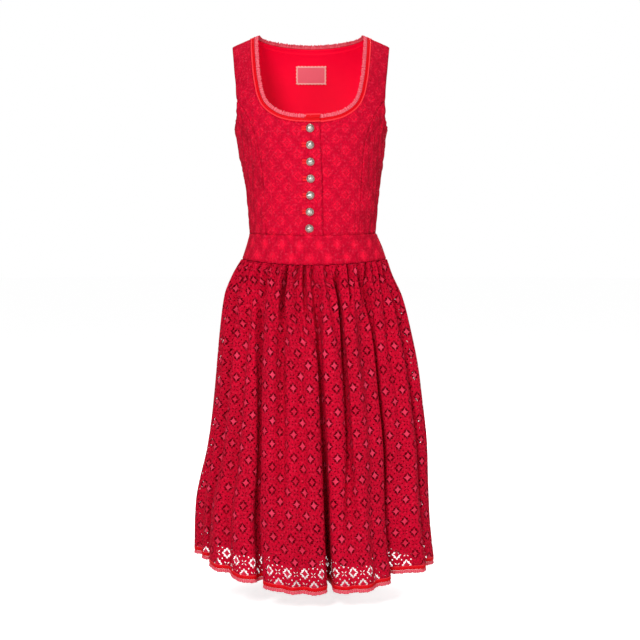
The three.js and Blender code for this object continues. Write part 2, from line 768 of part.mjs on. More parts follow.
function threadTable(half, share) {
  const key = `${half.name} ${share.toFixed(5)}`;
  if (!ringCache.has(key)) {
    const row = skirtRow(share);
    const lengths = [0];
    let last = null;
    for (let i = 0; i <= RING_SAMPLES; i++) {
      const angle = mix(half.from, half.to, i / RING_SAMPLES) * RAD;
      const point = ringPoint(row, angle, -foldDepth(angle, share, 1));
      if (last) lengths.push(lengths.at(-1) + point.distanceTo(last));
      last = point;
    }
    ringCache.set(key, lengths);
  }
  return ringCache.get(key);
}

function threadAngle(half, thread, share) {
  const lengths = threadTable(half, share);
  const target = thread * lengths.at(-1);
  let low = 0;
  let high = RING_SAMPLES;
  while (high - low > 1) {
    const middle = (low + high) >> 1;
    if (lengths[middle] <= target) low = middle;
    else high = middle;
  }
  const byLength = (low + (target - lengths[low]) / (lengths[high] - lengths[low])) / RING_SAMPLES;
  const crowd = 0.011 * Math.sin(19 * thread + 1) + 0.007 * Math.sin(43 * thread);
  const uneven = thread + crowd * Math.sin(Math.PI * thread);
  const turned = mix(uneven, byLength, smooth(0, EVEN_FROM, share));
  const inset = SHIFT / SKIRT_RADIUS / RAD;
  return mix(half.from + inset, half.to - inset, turned) * RAD;
}

function skirtPoint(half, thread, share) {
  const angle = threadAngle(half, thread, share);
  const row = skirtRow(share);
  const unevenGather = 0.8 + 0.2 * Math.sin(31 * thread + 2);
  const gather = row.gather * unevenGather * (0.5 - 0.5 * Math.cos(2 * Math.PI * GATHERS * thread));
  const depth = foldDepth(angle, share, 1);
  const point = ringPoint(row, angle, -depth - gather);
  point.z = mix(bandBottomAt(angle) - SEAM_GAP, hemAt(angle) + HEM_LIFT * depth, share);
  return point;
}

// The point behind it, a wall's thickness inwards and square to the cloth on both sides
function behind(pointAt, thread, step, thickness) {
  const here = pointAt(thread);
  const acrossSeam = (p) => p.clone().setY(2 * here.y - p.y);
  const next = (turn) => (turn >= 0 && turn <= 1 ? pointAt(turn) : acrossSeam(pointAt(2 * thread - turn)));
  const before = next(thread - step);
  const after = next(thread + step);
  const inward = (a, b) => new THREE.Vector3(-(b.y - a.y), b.x - a.x, 0).normalize();
  const sides = [inward(before, here), inward(here, after)];
  const direction = sides[0].clone().add(sides[1]).normalize();
  const square = Math.max(direction.dot(sides[0]), SHARPEST);
  return here.clone().addScaledVector(direction, thickness / square);
}

// Joins two rows of points with different counts, each point with its share along the row
function joinRows(mesh, upper, lower, flipped) {
  const put = (a, b, c) => (flipped ? mesh.triangle(a, c, b) : mesh.triangle(a, b, c));
  let i = 0;
  let j = 0;
  while (i < upper.length - 1 || j < lower.length - 1) {
    const upperNext = i < upper.length - 1 ? upper[i + 1].thread : Infinity;
    const lowerNext = j < lower.length - 1 ? lower[j + 1].thread : Infinity;
    const advanceUpper = upper.length === lower.length ? i <= j : upperNext <= lowerNext;
    if (advanceUpper && i < upper.length - 1) {
      put(upper[i].at, upper[i + 1].at, lower[j].at);
      i++;
    } else {
      put(upper[i].at, lower[j + 1].at, lower[j].at);
      j++;
    }
  }
}

// One cell of the lace border: its outline with half a low opening at each corner, and the high opening
const starOutline = steps(8)
  .slice(0, -1)
  .map((turn) => [Math.cos(2 * Math.PI * turn), Math.sin(2 * Math.PI * turn)]);

function borderCell(cellWidth) {
  const wide = STAR_HALF_WIDTH / cellWidth;
  const diagonal = Math.SQRT1_2;
  const notch = [
    [wide * NOTCH_WIDTH, 0],
    [wide * diagonal, STAR_ROW_LOW + STAR_HALF_HEIGHT * diagonal],
    [0, STAR_ROW_LOW + STAR_HALF_HEIGHT],
  ];
  const outline = [
    ...notch,
    [0, LACE_BAND],
    [0.5, LACE_BAND],
    [1, LACE_BAND],
    ...notch.map(([u, up]) => [1 - u, up]).reverse(),
  ].map(([u, up]) => new THREE.Vector2(u, up));
  const opening = starOutline.map(
    ([c, s]) => new THREE.Vector2(0.5 + wide * c, STAR_ROW_HIGH + STAR_HALF_HEIGHT * s),
  );
  return { outline, opening, faces: THREE.ShapeUtils.triangulateShape(outline, [opening]) };
}

// One half of the lace skirt, with its border's openings cut through
function laceSkirt(half) {
  const mesh = new MeshBuilder();
  const hemStep = 0.5 / STAR_CELLS;
  const gatherStep = 1 / (GATHERS * STEPS_PER_GATHER);
  const borderShare = 1 - LACE_BAND / FULL_DROP;
  const rows = [
    { share: 0, step: gatherStep },
    { share: 14 / FULL_DROP, step: gatherStep },
    { share: 38 / FULL_DROP, step: gatherStep },
    { share: 90 / FULL_DROP, step: hemStep },
    { share: 160 / FULL_DROP, step: hemStep },
    { share: 290 / FULL_DROP, step: hemStep },
    { share: 430 / FULL_DROP, step: hemStep },
    { share: borderShare, step: hemStep },
  ].map(({ share, step }) => {
    const threads = steps(Math.round(1 / step));
    return threads.map((thread) => {
      const pointAt = (t) => skirtPoint(half, t, share);
      return { thread, outer: pointAt(thread), inner: behind(pointAt, thread, step, LACE_WALL) };
    });
  });
  const face = (row, side) => row.map((p) => ({ thread: p.thread, at: p[side] }));
  const rim = (a, b) => mesh.quad(a.outer, a.inner, b.inner, b.outer);
  for (let i = 0; i < rows.length - 1; i++) {
    joinRows(mesh, face(rows[i], "outer"), face(rows[i + 1], "outer"), true);
    joinRows(mesh, face(rows[i], "inner"), face(rows[i + 1], "inner"), false);
    rim(rows[i][0], rows[i + 1][0]);
    rim(rows[i + 1].at(-1), rows[i].at(-1));
  }
  for (let j = 0; j < rows[0].length - 1; j++) rim(rows[0][j + 1], rows[0][j]);

  const cell = borderCell(hemLength(half) / STAR_CELLS);
  for (let k = 0; k < STAR_CELLS; k++) {
    const corner = ({ x, y }) => {
      const thread = (k + x) / STAR_CELLS;
      const pointAt = (t) => skirtPoint(half, t, 1 - y / FULL_DROP);
      return { outer: pointAt(thread), inner: behind(pointAt, thread, hemStep, LACE_WALL) };
    };
    const outline = cell.outline.map(corner);
    const opening = cell.opening.map(corner);
    const corners = [...outline, ...opening];
    for (const [a, b, c] of cell.faces) {
      mesh.triangle(corners[a].outer, corners[b].outer, corners[c].outer);
      mesh.triangle(corners[a].inner, corners[c].inner, corners[b].inner);
    }
    opening.forEach((p, i) => rim(opening[(i + 1) % opening.length], p));
    const last = outline.length;
    const lowEdges = [
      [0, 1],
      [1, 2],
      [last - 3, last - 2],
      [last - 2, last - 1],
      [last - 1, 0],
    ];
    for (const [a, b] of lowEdges) rim(outline[b], outline[a]);
    if (k === 0) rim(outline[3], outline[2]);
    if (k === STAR_CELLS - 1) rim(outline[last - 3], outline[last - 4]);
  }
  return mesh.geometry();
}

const hemLength = (half) => threadTable(half, 1).at(-1);

// A wall that follows the hem between two distances below the lace's edge; its lower edge may wave in and out
function hemStrip(half, top, bottom, wall, wave) {
  const columns = STAR_CELLS * 2;
  const strip = (extra) =>
    [0, 1].map((level) =>
      steps(columns).map((thread, i) => {
        const swing = level * wave * (i % 2 === 0 ? 1 : -1);
        const point = behind((t) => skirtPoint(half, t, 1), thread, 1 / columns, extra + swing);
        point.z -= mix(top, bottom, level);
        return point;
      }),
    );
  return wallGeometry(strip(0), strip(wall));
}

function liningPoint(half, thread, share) {
  const angle = threadAngle(half, thread, share);
  const row = skirtRow(share);
  const depth = foldDepth(angle, share, LINING_SPREAD) * LINING_DEPTH;
  const point = ringPoint(row, angle, -depth - row.gather - LACE_WALL - LINING_EASE);
  point.z = mix(bandBottomAt(angle) - SEAM_GAP, hemAt(angle) + HEM_LIFT * depth, share);
  return point;
}

// The skirt lining hangs from inside the waistband and passes under the gathers
function skirtLining(half) {
  const lowest = 1 - LINING_ABOVE_HEM / FULL_DROP;
  const threads = steps(LINING_COLUMNS);
  const shares = [0.02, 0.07, 0.16, 0.4, 0.68, lowest];
  const tuck = BAND_WALL + 2 * SEAM_GAP;
  const tucked = (t, share, wall) => bandPoint(threadAngle(half, t, 0), share, -tuck - wall);
  const rowsOf = (wall) => [
    threads.map((t) => tucked(t, 0.7, wall)),
    ...shares.map((share) =>
      threads.map((t) => {
        const pointAt = (thread) => liningPoint(half, thread, share);
        return wall ? behind(pointAt, t, 1 / LINING_COLUMNS, wall) : pointAt(t);
      }),
    ),
  ];
  return wallGeometry(rowsOf(0), rowsOf(LINING_WALL));
}

function buildSkirt() {
  const frillTop = HEM_CORD_HEIGHT + 2 * SEAM_GAP;
  for (const half of HALVES) {
    add(`skirt_lace_${half.name}`, laceSkirt(half), "lace");
    add(`skirt_lining_${half.name}`, skirtLining(half), "lining");
    const cord = hemStrip(half, SEAM_GAP, SEAM_GAP + HEM_CORD_HEIGHT, HEM_CORD_WALL, 0);
    add(`hem_cord_${half.name}`, cord, "cord");
    const frill = hemStrip(half, frillTop, frillTop + HEM_FRILL_HEIGHT, HEM_FRILL_WALL, HEM_WAVE);
    add(`hem_frill_${half.name}`, frill, "frill");
  }
}

buildFronts();
buildSidePanels();
buildBack();
buildNeckTrims();
buildButtons();
buildBand();
buildSkirt();

export default dress;
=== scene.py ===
import math

import bmesh
import bpy
import numpy as np
from mathutils import Matrix, Vector


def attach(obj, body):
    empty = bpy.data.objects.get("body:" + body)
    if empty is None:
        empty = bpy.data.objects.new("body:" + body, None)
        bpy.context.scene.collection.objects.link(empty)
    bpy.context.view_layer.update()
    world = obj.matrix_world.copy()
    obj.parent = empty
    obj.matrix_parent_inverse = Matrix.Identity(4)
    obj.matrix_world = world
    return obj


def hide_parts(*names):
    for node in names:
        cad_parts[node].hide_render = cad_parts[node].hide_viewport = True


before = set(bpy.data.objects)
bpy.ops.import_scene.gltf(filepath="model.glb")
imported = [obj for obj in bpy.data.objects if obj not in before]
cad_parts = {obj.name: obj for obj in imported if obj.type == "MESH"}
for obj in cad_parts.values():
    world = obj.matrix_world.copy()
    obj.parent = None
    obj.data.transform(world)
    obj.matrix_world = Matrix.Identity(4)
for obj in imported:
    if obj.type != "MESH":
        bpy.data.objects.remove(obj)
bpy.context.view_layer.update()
print("frame loaded,", len(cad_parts), "nodes")

# Lengths in the tables are millimetres, the wearer's left is +X and the front faces -Y
mm = 0.001
rad = math.pi / 180
seamGap = 0.4


# The form that the cloth follows

def readTable(keys, values, at):
    keys, values = np.asarray(keys, float), np.asarray(values, float)
    at = np.clip(at, keys[0], keys[-1])
    i = np.clip(np.searchsorted(keys, at, side="right") - 1, 0, len(keys) - 2)
    span = np.diff(keys)
    rate = np.diff(values) / span
    slope = np.concatenate([rate[:1], rate, rate[-1:]])[:len(keys)]
    product, total = rate[:-1] * rate[1:], rate[:-1] + rate[1:]
    slope[1:-1] = np.where(product <= 0, 0, 2 * product / np.where(product <= 0, 1, total))
    slope[-1] = rate[-1]
    s = (at - keys[i]) / span[i]
    a, b = values[i], values[i + 1]
    inward, outward = slope[i] * span[i], slope[i + 1] * span[i]
    return a + s * (inward + s * (3 * (b - a) - 2 * inward - outward + s * (2 * (a - b) + inward + outward)))


def smooth(low, high, value):
    share = np.clip((value - low) / (high - low), 0, 1)
    return share * share * (3 - 2 * share)


def mix(a, b, share):
    return a + (b - a) * share


def bump(value, centre, wide):
    return np.exp(-((value - centre) / wide) ** 2)


torso = {
    "below": [0, 6, 20, 50, 90, 130, 178, 215, 300, 400],  # under the shoulder line
    "half": [175, 175, 175, 175, 174, 168, 152, 146, 132, 123.5],
    "front": [0, 24, 44, 69, 90, 104, 112, 113, 102, 92],
    "back": [0, 23, 42, 68, 86, 95, 100, 99, 91, 85],
    "bust": {"x": 78, "below": 208, "out": 9, "wide": 46, "tall": 62},
    "waist": -383,
    "waistDip": 4,
    "shoulderRoot": 0.04,
}
torsoRoots = np.sqrt(torso["below"])


def shoulderHeight(x):
    return 38.6 - 0.477 * (np.hypot(x, 60) - 60)


def heightAt(x, below):
    return shoulderHeight(x) * (1 - smooth(60, 170, below)) - below


def belowAt(x, z):
    below = np.maximum(0, -z)
    for _ in range(30):
        below = np.maximum(0, shoulderHeight(x) * (1 - smooth(60, 170, below)) - z)
    return below


def torsoPoint(angle, root):
    below = root * root
    x = readTable(torsoRoots, torso["half"], root) * np.sin(angle)
    facing = np.cos(angle)
    bust = torso["bust"]
    full = bust["out"] * bump(np.abs(x), bust["x"], bust["wide"]) * bump(below, bust["below"], bust["tall"])
    front = -facing * readTable(torsoRoots, torso["front"], root) - full * np.clip(facing * 2, 0, 1)
    back = -facing * readTable(torsoRoots, torso["back"], root)
    y = np.where(facing > 0, front, back)
    return np.stack([x + 3.5 * smooth(175, 300, below), y, heightAt(x, below)], axis=-1)


def torsoNormal(angle, root):
    across = torsoPoint(angle + 0.004, root) - torsoPoint(angle - 0.004, root)
    down = torsoPoint(angle, root + 0.05) - torsoPoint(angle, np.maximum(root - 0.05, 0.001))
    normal = np.cross(down, across)
    return normal / np.linalg.norm(normal, axis=-1, keepdims=True)


def onTorso(angle, root, out):
    return torsoPoint(angle, root) + torsoNormal(angle, root) * np.asarray(out)[..., None]


def torsoPlace(x, z, side):
    root = np.maximum(np.sqrt(belowAt(x, z)), torso["shoulderRoot"])
    turn = np.arcsin(np.clip(x / readTable(torsoRoots, torso["half"], root), -1, 1))
    return np.stack([turn if side > 0 else math.pi - turn, root], axis=-1)


def waistPlace(x, side):
    place = torsoPlace(x, np.full_like(x, torso["waist"]), side)
    place[..., 1] = waistRoot(place[..., 0])
    return place


def waistRoot(angle):
    facing = np.maximum(0, np.cos(angle))
    return np.sqrt(-torso["waist"] + torso["waistDip"] * facing ** 2)


# Distance across from the centre front or back and up from the waist, measured along the cloth
def clothOn(angle, root):
    centre = np.where(np.cos(angle) > 0, 0, math.pi)
    steps = [torsoPoint(mix(centre, angle, k / 12), root) for k in range(13)]
    across = sum(np.linalg.norm(b - a, axis=-1) for a, b in zip(steps, steps[1:])) * np.sign(np.sin(angle))
    roots = np.linspace(torso["shoulderRoot"], 20, 200)
    line = torsoPoint(np.full(200, 0.6), roots)
    lengths = np.concatenate([[0], np.cumsum(np.linalg.norm(np.diff(line, axis=0), axis=1))])
    return np.stack([across, lengths[-1] - np.interp(root, roots, lengths)], axis=-1)


# Places inside four edges that share their corners
def insideEdges(bottom, top, left, right):
    u = ((bottom[:, 0] - bottom[0, 0]) / (bottom[-1, 0] - bottom[0, 0]))[None, :, None]
    v = np.linspace(0, 1, len(left))[:, None, None]
    fromTop = (top[None] - mix(top[0], top[-1], u)) * v ** 2.6
    fromBottom = (bottom[None] - mix(bottom[0], bottom[-1], u)) * (1 - v)
    return mix(left[:, None], right[:, None], u) + fromTop + fromBottom


def runLength(points, axis):
    steps = np.diff(points, axis=axis, prepend=np.take(points, [0], axis))
    return np.cumsum(np.linalg.norm(steps, axis=-1), axis=axis)


# Shared ways of making a piece

def finishMesh(obj, looks, node):
    for look in looks:
        obj.data.materials.append(look)
    obj.data.polygons.foreach_set("use_smooth", np.ones(len(obj.data.polygons), bool))
    bpy.context.collection.objects.link(obj)
    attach(obj, "root")
    if node:
        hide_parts(*([node] if isinstance(node, str) else node))
    return obj


# A sheet over a grid of points, with the same grid laid out flat as its UV map
def clothPiece(name, node, points, cloth, looks, wall, missing=None):
    rows, columns = points.shape[0] - 1, points.shape[1] - 1
    bm = bmesh.new()
    bmesh.ops.create_grid(bm, x_segments=columns, y_segments=rows, size=1)
    if missing is not None:
        lost = []
        for face in bm.faces:
            middle = face.calc_center_median()
            if missing(int((middle.x + 1) / 2 * columns), int((middle.y + 1) / 2 * rows)):
                lost.append(face)
        bmesh.ops.delete(bm, geom=lost, context="FACES")
    mesh = bpy.data.meshes.new(name)
    bm.to_mesh(mesh)
    bm.free()
    flat = np.empty(len(mesh.vertices) * 3, np.float32)
    mesh.vertices.foreach_get("co", flat)
    column = np.rint((flat[0::3] + 1) / 2 * columns).astype(int)
    row = np.rint((flat[1::3] + 1) / 2 * rows).astype(int)
    mesh.vertices.foreach_set("co", (points[row, column] * mm).astype(np.float32).ravel())
    corners = np.empty(len(mesh.loops), np.int32)
    mesh.loops.foreach_get("vertex_index", corners)
    layer = mesh.uv_layers.new(name="cloth")
    layer.data.foreach_set("uv", (cloth[row, column] * mm)[corners].astype(np.float32).ravel())
    mesh.update()
    normals = np.empty(len(mesh.polygons) * 3, np.float32)
    centres = np.empty(len(mesh.polygons) * 3, np.float32)
    mesh.polygons.foreach_get("normal", normals)
    mesh.polygons.foreach_get("center", centres)
    outward = centres.reshape(-1, 3) * [1, 1, 0]
    if (normals.reshape(-1, 3) * outward).sum() < 0:
        mesh.flip_normals()
    obj = finishMesh(bpy.data.objects.new(name, mesh), looks, node)
    solid = obj.modifiers.new("wall", "SOLIDIFY")
    solid.thickness = wall * mm
    solid.offset = -1
    solid.material_offset = len(looks) - 1
    return obj


# A value for every point of a grid piece, which its material reads
def giveValues(obj, name, values):
    layer = obj.data.attributes.new(name, "FLOAT", "POINT")
    layer.data.foreach_set("value", values.astype(np.float32).ravel())


def oneSidedArea(obj):
    areas = np.empty(len(obj.data.polygons), np.float32)
    obj.data.polygons.foreach_get("area", areas)
    return float(areas.sum())


# Works out a sheet's size as it was cut, from the longest row and column of its grid, and its area, and does
# nothing more with them
def declareSheet(obj, points, held, restsOn, withPieces=(), cut=None):
    width = float(runLength(points, 1)[:, -1].max()) * mm
    length = float(runLength(points, 0)[-1].max()) * mm
    width, length = cut or (round(width, 3), round(length, 3))
    area = min(max(oneSidedArea(obj), 0.31 * width * length), width * length)


# Materials

def colour(red, green, blue):
    return tuple((c / 255) ** 2.2 for c in (red, green, blue)) + (1.0,)


# A value in a node tree that is worked with like a number
class Field:
    def __init__(self, tree, socket):
        self.tree, self.socket = tree, socket

    def __add__(self, other):
        return maths(self.tree, "ADD", self, other)

    def __sub__(self, other):
        return maths(self.tree, "SUBTRACT", self, other)

    def __rsub__(self, other):
        return maths(self.tree, "SUBTRACT", other, self)

    def __mul__(self, other):
        return maths(self.tree, "MULTIPLY", self, other)

    def __truediv__(self, other):
        return maths(self.tree, "DIVIDE", self, other)

    def __rtruediv__(self, other):
        return maths(self.tree, "DIVIDE", other, self)

    def __pow__(self, other):
        return maths(self.tree, "POWER", self, other)

    def __abs__(self):
        return maths(self.tree, "ABSOLUTE", self)

    def limited(self):
        return maths(self.tree, "ADD", self, 0.0, clamp=True)


def fill(tree, socket, value):
    if isinstance(value, Field):
        tree.links.new(value.socket, socket)
    elif value is not None:
        socket.default_value = value


def put(tree, kind, *values, **settings):
    node = tree.nodes.new(kind)
    for name, value in settings.items():
        setattr(node, name, value)
    for socket, value in zip(node.inputs, values):
        fill(tree, socket, value)
    return node


def maths(tree, operation, *values, clamp=False):
    node = put(tree, "ShaderNodeMath", *values, operation=operation, use_clamp=clamp)
    return Field(tree, node.outputs[0])


def vectors(tree, operation, *values):
    return Field(tree, put(tree, "ShaderNodeVectorMath", *values, operation=operation).outputs[0])


def noise(tree, place, scale, detail, output="Fac"):
    return Field(tree, put(tree, "ShaderNodeTexNoise", place, None, scale, detail).outputs[output])


def attribute(tree, name):
    return Field(tree, put(tree, "ShaderNodeAttribute", attribute_name=name).outputs["Fac"])


# How far along and across the cloth a place is
def parted(tree, place):
    outputs = put(tree, "ShaderNodeSeparateXYZ", place).outputs
    return Field(tree, outputs[0]), Field(tree, outputs[1])


def mixColour(tree, share, a, b):
    node = put(tree, "ShaderNodeMix", data_type="RGBA")
    for name, value in (("Factor_Float", share), ("A_Color", a), ("B_Color", b)):
        fill(tree, next(s for s in node.inputs if s.identifier == name), value)
    return Field(tree, next(s for s in node.outputs if s.identifier == "Result_Color"))


def startGroup(name, inputs, outputs):
    tree = bpy.data.node_groups.new(name, "ShaderNodeTree")
    for label, value in inputs.items():
        kind = "NodeSocketVector" if value is None else "NodeSocketFloat"
        socket = tree.interface.new_socket(name=label, in_out="INPUT", socket_type=kind)
        if value is not None:
            socket.default_value = value
    for label in outputs:
        tree.interface.new_socket(name=label, in_out="OUTPUT", socket_type="NodeSocketFloat")
    given = {output.name: Field(tree, output) for output in tree.nodes.new("NodeGroupInput").outputs}
    return tree, given, tree.nodes.new("NodeGroupOutput")


def giveOut(tree, out, **values):
    for name, value in values.items():
        fill(tree, out.inputs[name], value)
    return tree


def larger(a, b):
    return maths(a.tree, "MAXIMUM", a, b)


# One where the value is positive, with an edge that is soft over a given width
def softStep(value, width):
    return maths(value.tree, "ADD", value / width, 0.5, clamp=True)


# The lace's repeat: rows of star openings, every second row half a cell aside, each holding a small star
def laceGroup():
    inputs = {"Cloth": None, "Cell": 36, "Row": 21.6, "StarU": 0, "StarV": 0}
    tree, given, out = startGroup("laceRepeat", inputs, ["Hole", "Opening", "Glow", "Star", "Height"])
    wander = noise(tree, given["Cloth"], 60.0, 1.0, "Color")
    drift = vectors(tree, "SUBTRACT", wander, (0.5, 0.5, 0.5))
    along, up = parted(tree, vectors(tree, "MULTIPLY_ADD", drift, (0.0012, 0.0012, 0), given["Cloth"]))
    cell, row = given["Cell"], given["Row"]
    down = (up * 1000 - given["StarV"]) / row + 0.5
    aside = maths(tree, "FLOORED_MODULO", maths(tree, "FLOOR", down), 2.0) * 0.5
    across = (along * 1000 - given["StarU"]) / cell + 0.5 + aside
    x = abs((maths(tree, "FRACT", across) - 0.5) * cell)
    y = abs((maths(tree, "FRACT", down) - 0.5) * row)
    squat = y / 1.13
    turn = maths(tree, "ARCTAN2", squat, x)
    rimAt = maths(tree, "COSINE", turn * 8) * 1.25 + maths(tree, "COSINE", turn * 4) * 0.75 + 7.7
    depth = rimAt - maths(tree, "SQRT", x * x + squat * squat)
    opening = softStep(depth, 0.5)
    star = softStep(1 - ((x / 9.6) ** 0.54 + (y / 11.2) ** 0.54), 0.12)
    upright = softStep(0.3 - maths(tree, "MINIMUM", x, y), 0.25)
    slanting = softStep(0.22 - abs(x - squat), 0.25)
    crossX = cell * 0.5 - x
    dash = softStep(1 - (abs(crossX - y) / 1.15 + abs(crossX + y - 6) / 4.4), 0.35)
    diamond = softStep(1 - (abs(x - cell * 0.25) / 1.5 + (row * 0.5 - y) / 1.9), 0.35)
    hole = larger(opening * (1 - larger(star, larger(upright, slanting))), larger(dash, diamond))
    rise = (depth + 1) / 0.9
    rim = maths(tree, "EXPONENT", rise * rise * -1)
    return giveOut(tree, out, Hole=hole, Opening=opening, Glow=softStep(depth + 0.6, 3.4),
                   Star=star * opening, Height=rim * 0.5 + star - hole * 1.2)


# Crossing threads: a fine height and a tone that follows it
def weaveGroup():
    tree, given, out = startGroup("threads", {"Cloth": None, "Pitch": 0.8, "Slub": 0.3}, ["Height", "Tone"])
    along, up = parted(tree, given["Cloth"])
    rate = 1000 * math.pi / given["Pitch"]
    crossing = maths(tree, "SINE", along * rate) * maths(tree, "SINE", up * rate)
    slub = (noise(tree, given["Cloth"], 420.0, 3.0) - 0.5) * given["Slub"]
    return giveOut(tree, out, Height=crossing * 0.5 + slub * 3, Tone=crossing * 0.18 + slub)


# Soft uneven patches, for handling and wear
def patchGroup():
    tree, given, out = startGroup("patches", {"Vector": None, "Scale": 6}, ["Patch", "Fine"])
    return giveOut(tree, out, Patch=noise(tree, given["Vector"], given["Scale"], 4.0),
                   Fine=noise(tree, given["Vector"], given["Scale"] * 14, 4.0))


laceRepeat, threads, patches = laceGroup(), weaveGroup(), patchGroup()


def useGroup(tree, group, **values):
    node = tree.nodes.new("ShaderNodeGroup")
    node.node_tree = group
    for name, value in values.items():
        fill(tree, node.inputs[name], value)
    return {output.name: Field(tree, output) for output in node.outputs}


def patchy(tree, place, scale):
    return useGroup(tree, patches, Vector=place, Scale=scale)


def startMaterial(name, roughness, sheen, sheenTint):
    material = bpy.data.materials.new(name)
    material.use_nodes = True
    tree = material.node_tree
    shader = tree.nodes["Principled BSDF"]
    for socket, value in (("Roughness", roughness), ("Sheen Weight", sheen), ("Sheen Roughness", 0.5),
                          ("Sheen Tint", sheenTint), ("Specular IOR Level", 0.08)):
        shader.inputs[socket].default_value = value
    return material, tree, shader, Field(tree, put(tree, "ShaderNodeUVMap", uv_map="cloth").outputs[0])


# Gives a shader its colour and its fine relief
def dress(tree, shader, base, height, strength, distance):
    fill(tree, shader.inputs["Base Color"], base)
    relief = put(tree, "ShaderNodeBump", strength, distance)
    fill(tree, relief.inputs["Height"], height)
    tree.links.new(relief.outputs[0], shader.inputs["Normal"])


laceLooks = {
    "thread": colour(219, 0, 51),
    "shade": colour(184, 0, 42),
    "deep": colour(136, 0, 30),
    "star": colour(226, 58, 88),
    "pale": colour(250, 62, 92),
    "ground": colour(255, 22, 60),
    "sheen": colour(255, 90, 110),
    "pitch": 1.5,
    # The straps' painted shade starts this far up from the waist
    "strapShadeFrom": 290,  # up from the waist, where the bodice turns into straps
    "bodiceCell": 37,
    "bodiceRow": 21.7,
    "skirtRow": 21.6,
}


# The lace's own tone from threads, small knots and soft patches, paler specks that are partly lighter knots
# and partly painted thread highlights, and its relief
def laceTone(tree, cloth, lace, patch):
    weave = useGroup(tree, threads, Cloth=cloth, Pitch=laceLooks["pitch"], Slub=0.5)
    knots = patchy(tree, cloth, 22.0)["Fine"]
    # Painted highlight: pale specks at random places stand partly for lighter knots and partly for light
    # catching the threads
    pale = softStep(patchy(tree, cloth, 14.0)["Fine"] - 0.61, 0.17) * 0.34
    tone = (weave["Tone"] + (knots - 0.5) * 1.9 + 0.56 + (patch - 0.5) * 0.6).limited()
    return tone, pale, lace["Height"] + weave["Height"] * 0.7


# Lace stitched on a bright ground that shows softly through the openings; the third argument says how
# strongly painted crease shade darkens the lace and dims its openings
def bodiceLaceMaterial(name, starAt, paintedShade, starred=0.0):
    material, tree, shader, cloth = startMaterial(name, 0.8, 0.04, laceLooks["sheen"])
    lace = useGroup(tree, laceRepeat, Cloth=cloth, Cell=laceLooks["bodiceCell"], Row=laceLooks["bodiceRow"],
                    StarU=starAt[0], StarV=starAt[1])
    patch = patchy(tree, cloth, 9.0)["Patch"]
    tone, pale, height = laceTone(tree, cloth, lace, patch)
    # Painted shade: high up on the straps the lace is darkened towards the shade colour and the bright ground
    # in its openings is dimmed
    strap = softStep(parted(tree, cloth)[1] - laceLooks["strapShadeFrom"] * mm, 0.09)
    # Painted shade also dims the bright ground in the openings, more at the sides than at the front
    glow = lace["Glow"] * (patch * 1.6 + 0.3) * (1.05 - 0.6 * paintedShade - strap * 0.5)
    bars = (lace["Opening"] - lace["Hole"]).limited() * 0.62
    drawn = vectors(tree, "MULTIPLY", cloth, (1, 0.32, 1))
    # Painted crease shade: stretched upright noise darkens the lace towards the deep colour, most at the
    # sides, and sinks its relief a little
    creaseShade = softStep(patchy(tree, drawn, 95.0)["Patch"] - 0.53, 0.22) * paintedShade
    base = mixColour(tree, tone, laceLooks["shade"], laceLooks["thread"])
    # The last mix, towards the pale colour, is partly lighter knots and partly painted thread highlights
    for share, tint in ((strap * 0.6, "shade"), (glow.limited(), "ground"), (bars, "shade"),
                        (lace["Star"] * starred, "ground"), (creaseShade, "deep"), (pale, "pale")):
        base = mixColour(tree, share, base, laceLooks[tint])
    dress(tree, shader, base, height - creaseShade * 1.5, 0.8, 0.0009)
    return material


# Open lace: what lies behind shows through its holes
def skirtLaceMaterial(name, cell, starAt):
    material, tree, shader, cloth = startMaterial(name, 0.8, 0.04, laceLooks["sheen"])
    lace = useGroup(tree, laceRepeat, Cloth=cloth, Cell=cell, Row=laceLooks["skirtRow"], StarU=starAt[0],
                    StarV=starAt[1])
    tone, pale, height = laceTone(tree, cloth, lace, patchy(tree, cloth, 6.0)["Patch"])
    # The stars show more strongly in some random patches than in others
    starPatch = patchy(tree, cloth, 17.0)["Patch"]
    shown = (softStep(starPatch - 0.52, 0.22) + 0.12).limited()
    base = mixColour(tree, tone, laceLooks["deep"], laceLooks["thread"])
    # Pale specks: partly lighter knots, partly painted thread highlights
    base = mixColour(tree, pale * 0.7, base, laceLooks["pale"])
    base = mixColour(tree, lace["Star"] * shown, base, laceLooks["star"])
    fill(tree, shader.inputs["Alpha"], 1 - lace["Hole"])
    dress(tree, shader, base, height, 0.6, 0.0007)
    return material


def plainClothMaterial(name, light, dark, pitch, roughness):
    material, tree, shader, cloth = startMaterial(name, roughness, 0.03, colour(255, 130, 140))
    weave = useGroup(tree, threads, Cloth=cloth, Pitch=pitch, Slub=0.25)
    patch = patchy(tree, cloth, 7.0)["Patch"]
    tone = (weave["Tone"] + 0.6 + (patch - 0.5) * 0.8).limited()
    dress(tree, shader, mixColour(tree, tone, dark, light), weave["Height"], 0.25, 0.0003)
    return material


# A tape seen from its own UV map: u runs along it, v across it from the cloth's side
def tapeMaterial(name, lightTo):
    material, tree, shader, cloth = startMaterial(name, 0.55, 0.02, colour(255, 120, 110))
    weave = useGroup(tree, threads, Cloth=cloth, Pitch=0.9, Slub=0.2)
    across = parted(tree, cloth)[1] * 1000
    piping = softStep(across, 0.5) * softStep(lightTo - across, 0.5)
    base = mixColour(tree, (weave["Tone"] + 0.6).limited(), colour(186, 0, 16), colour(226, 4, 28))
    base = mixColour(tree, piping * 0.85, base, colour(254, 60, 72))
    dress(tree, shader, base, weave["Height"], 0.3, 0.0003)
    return material


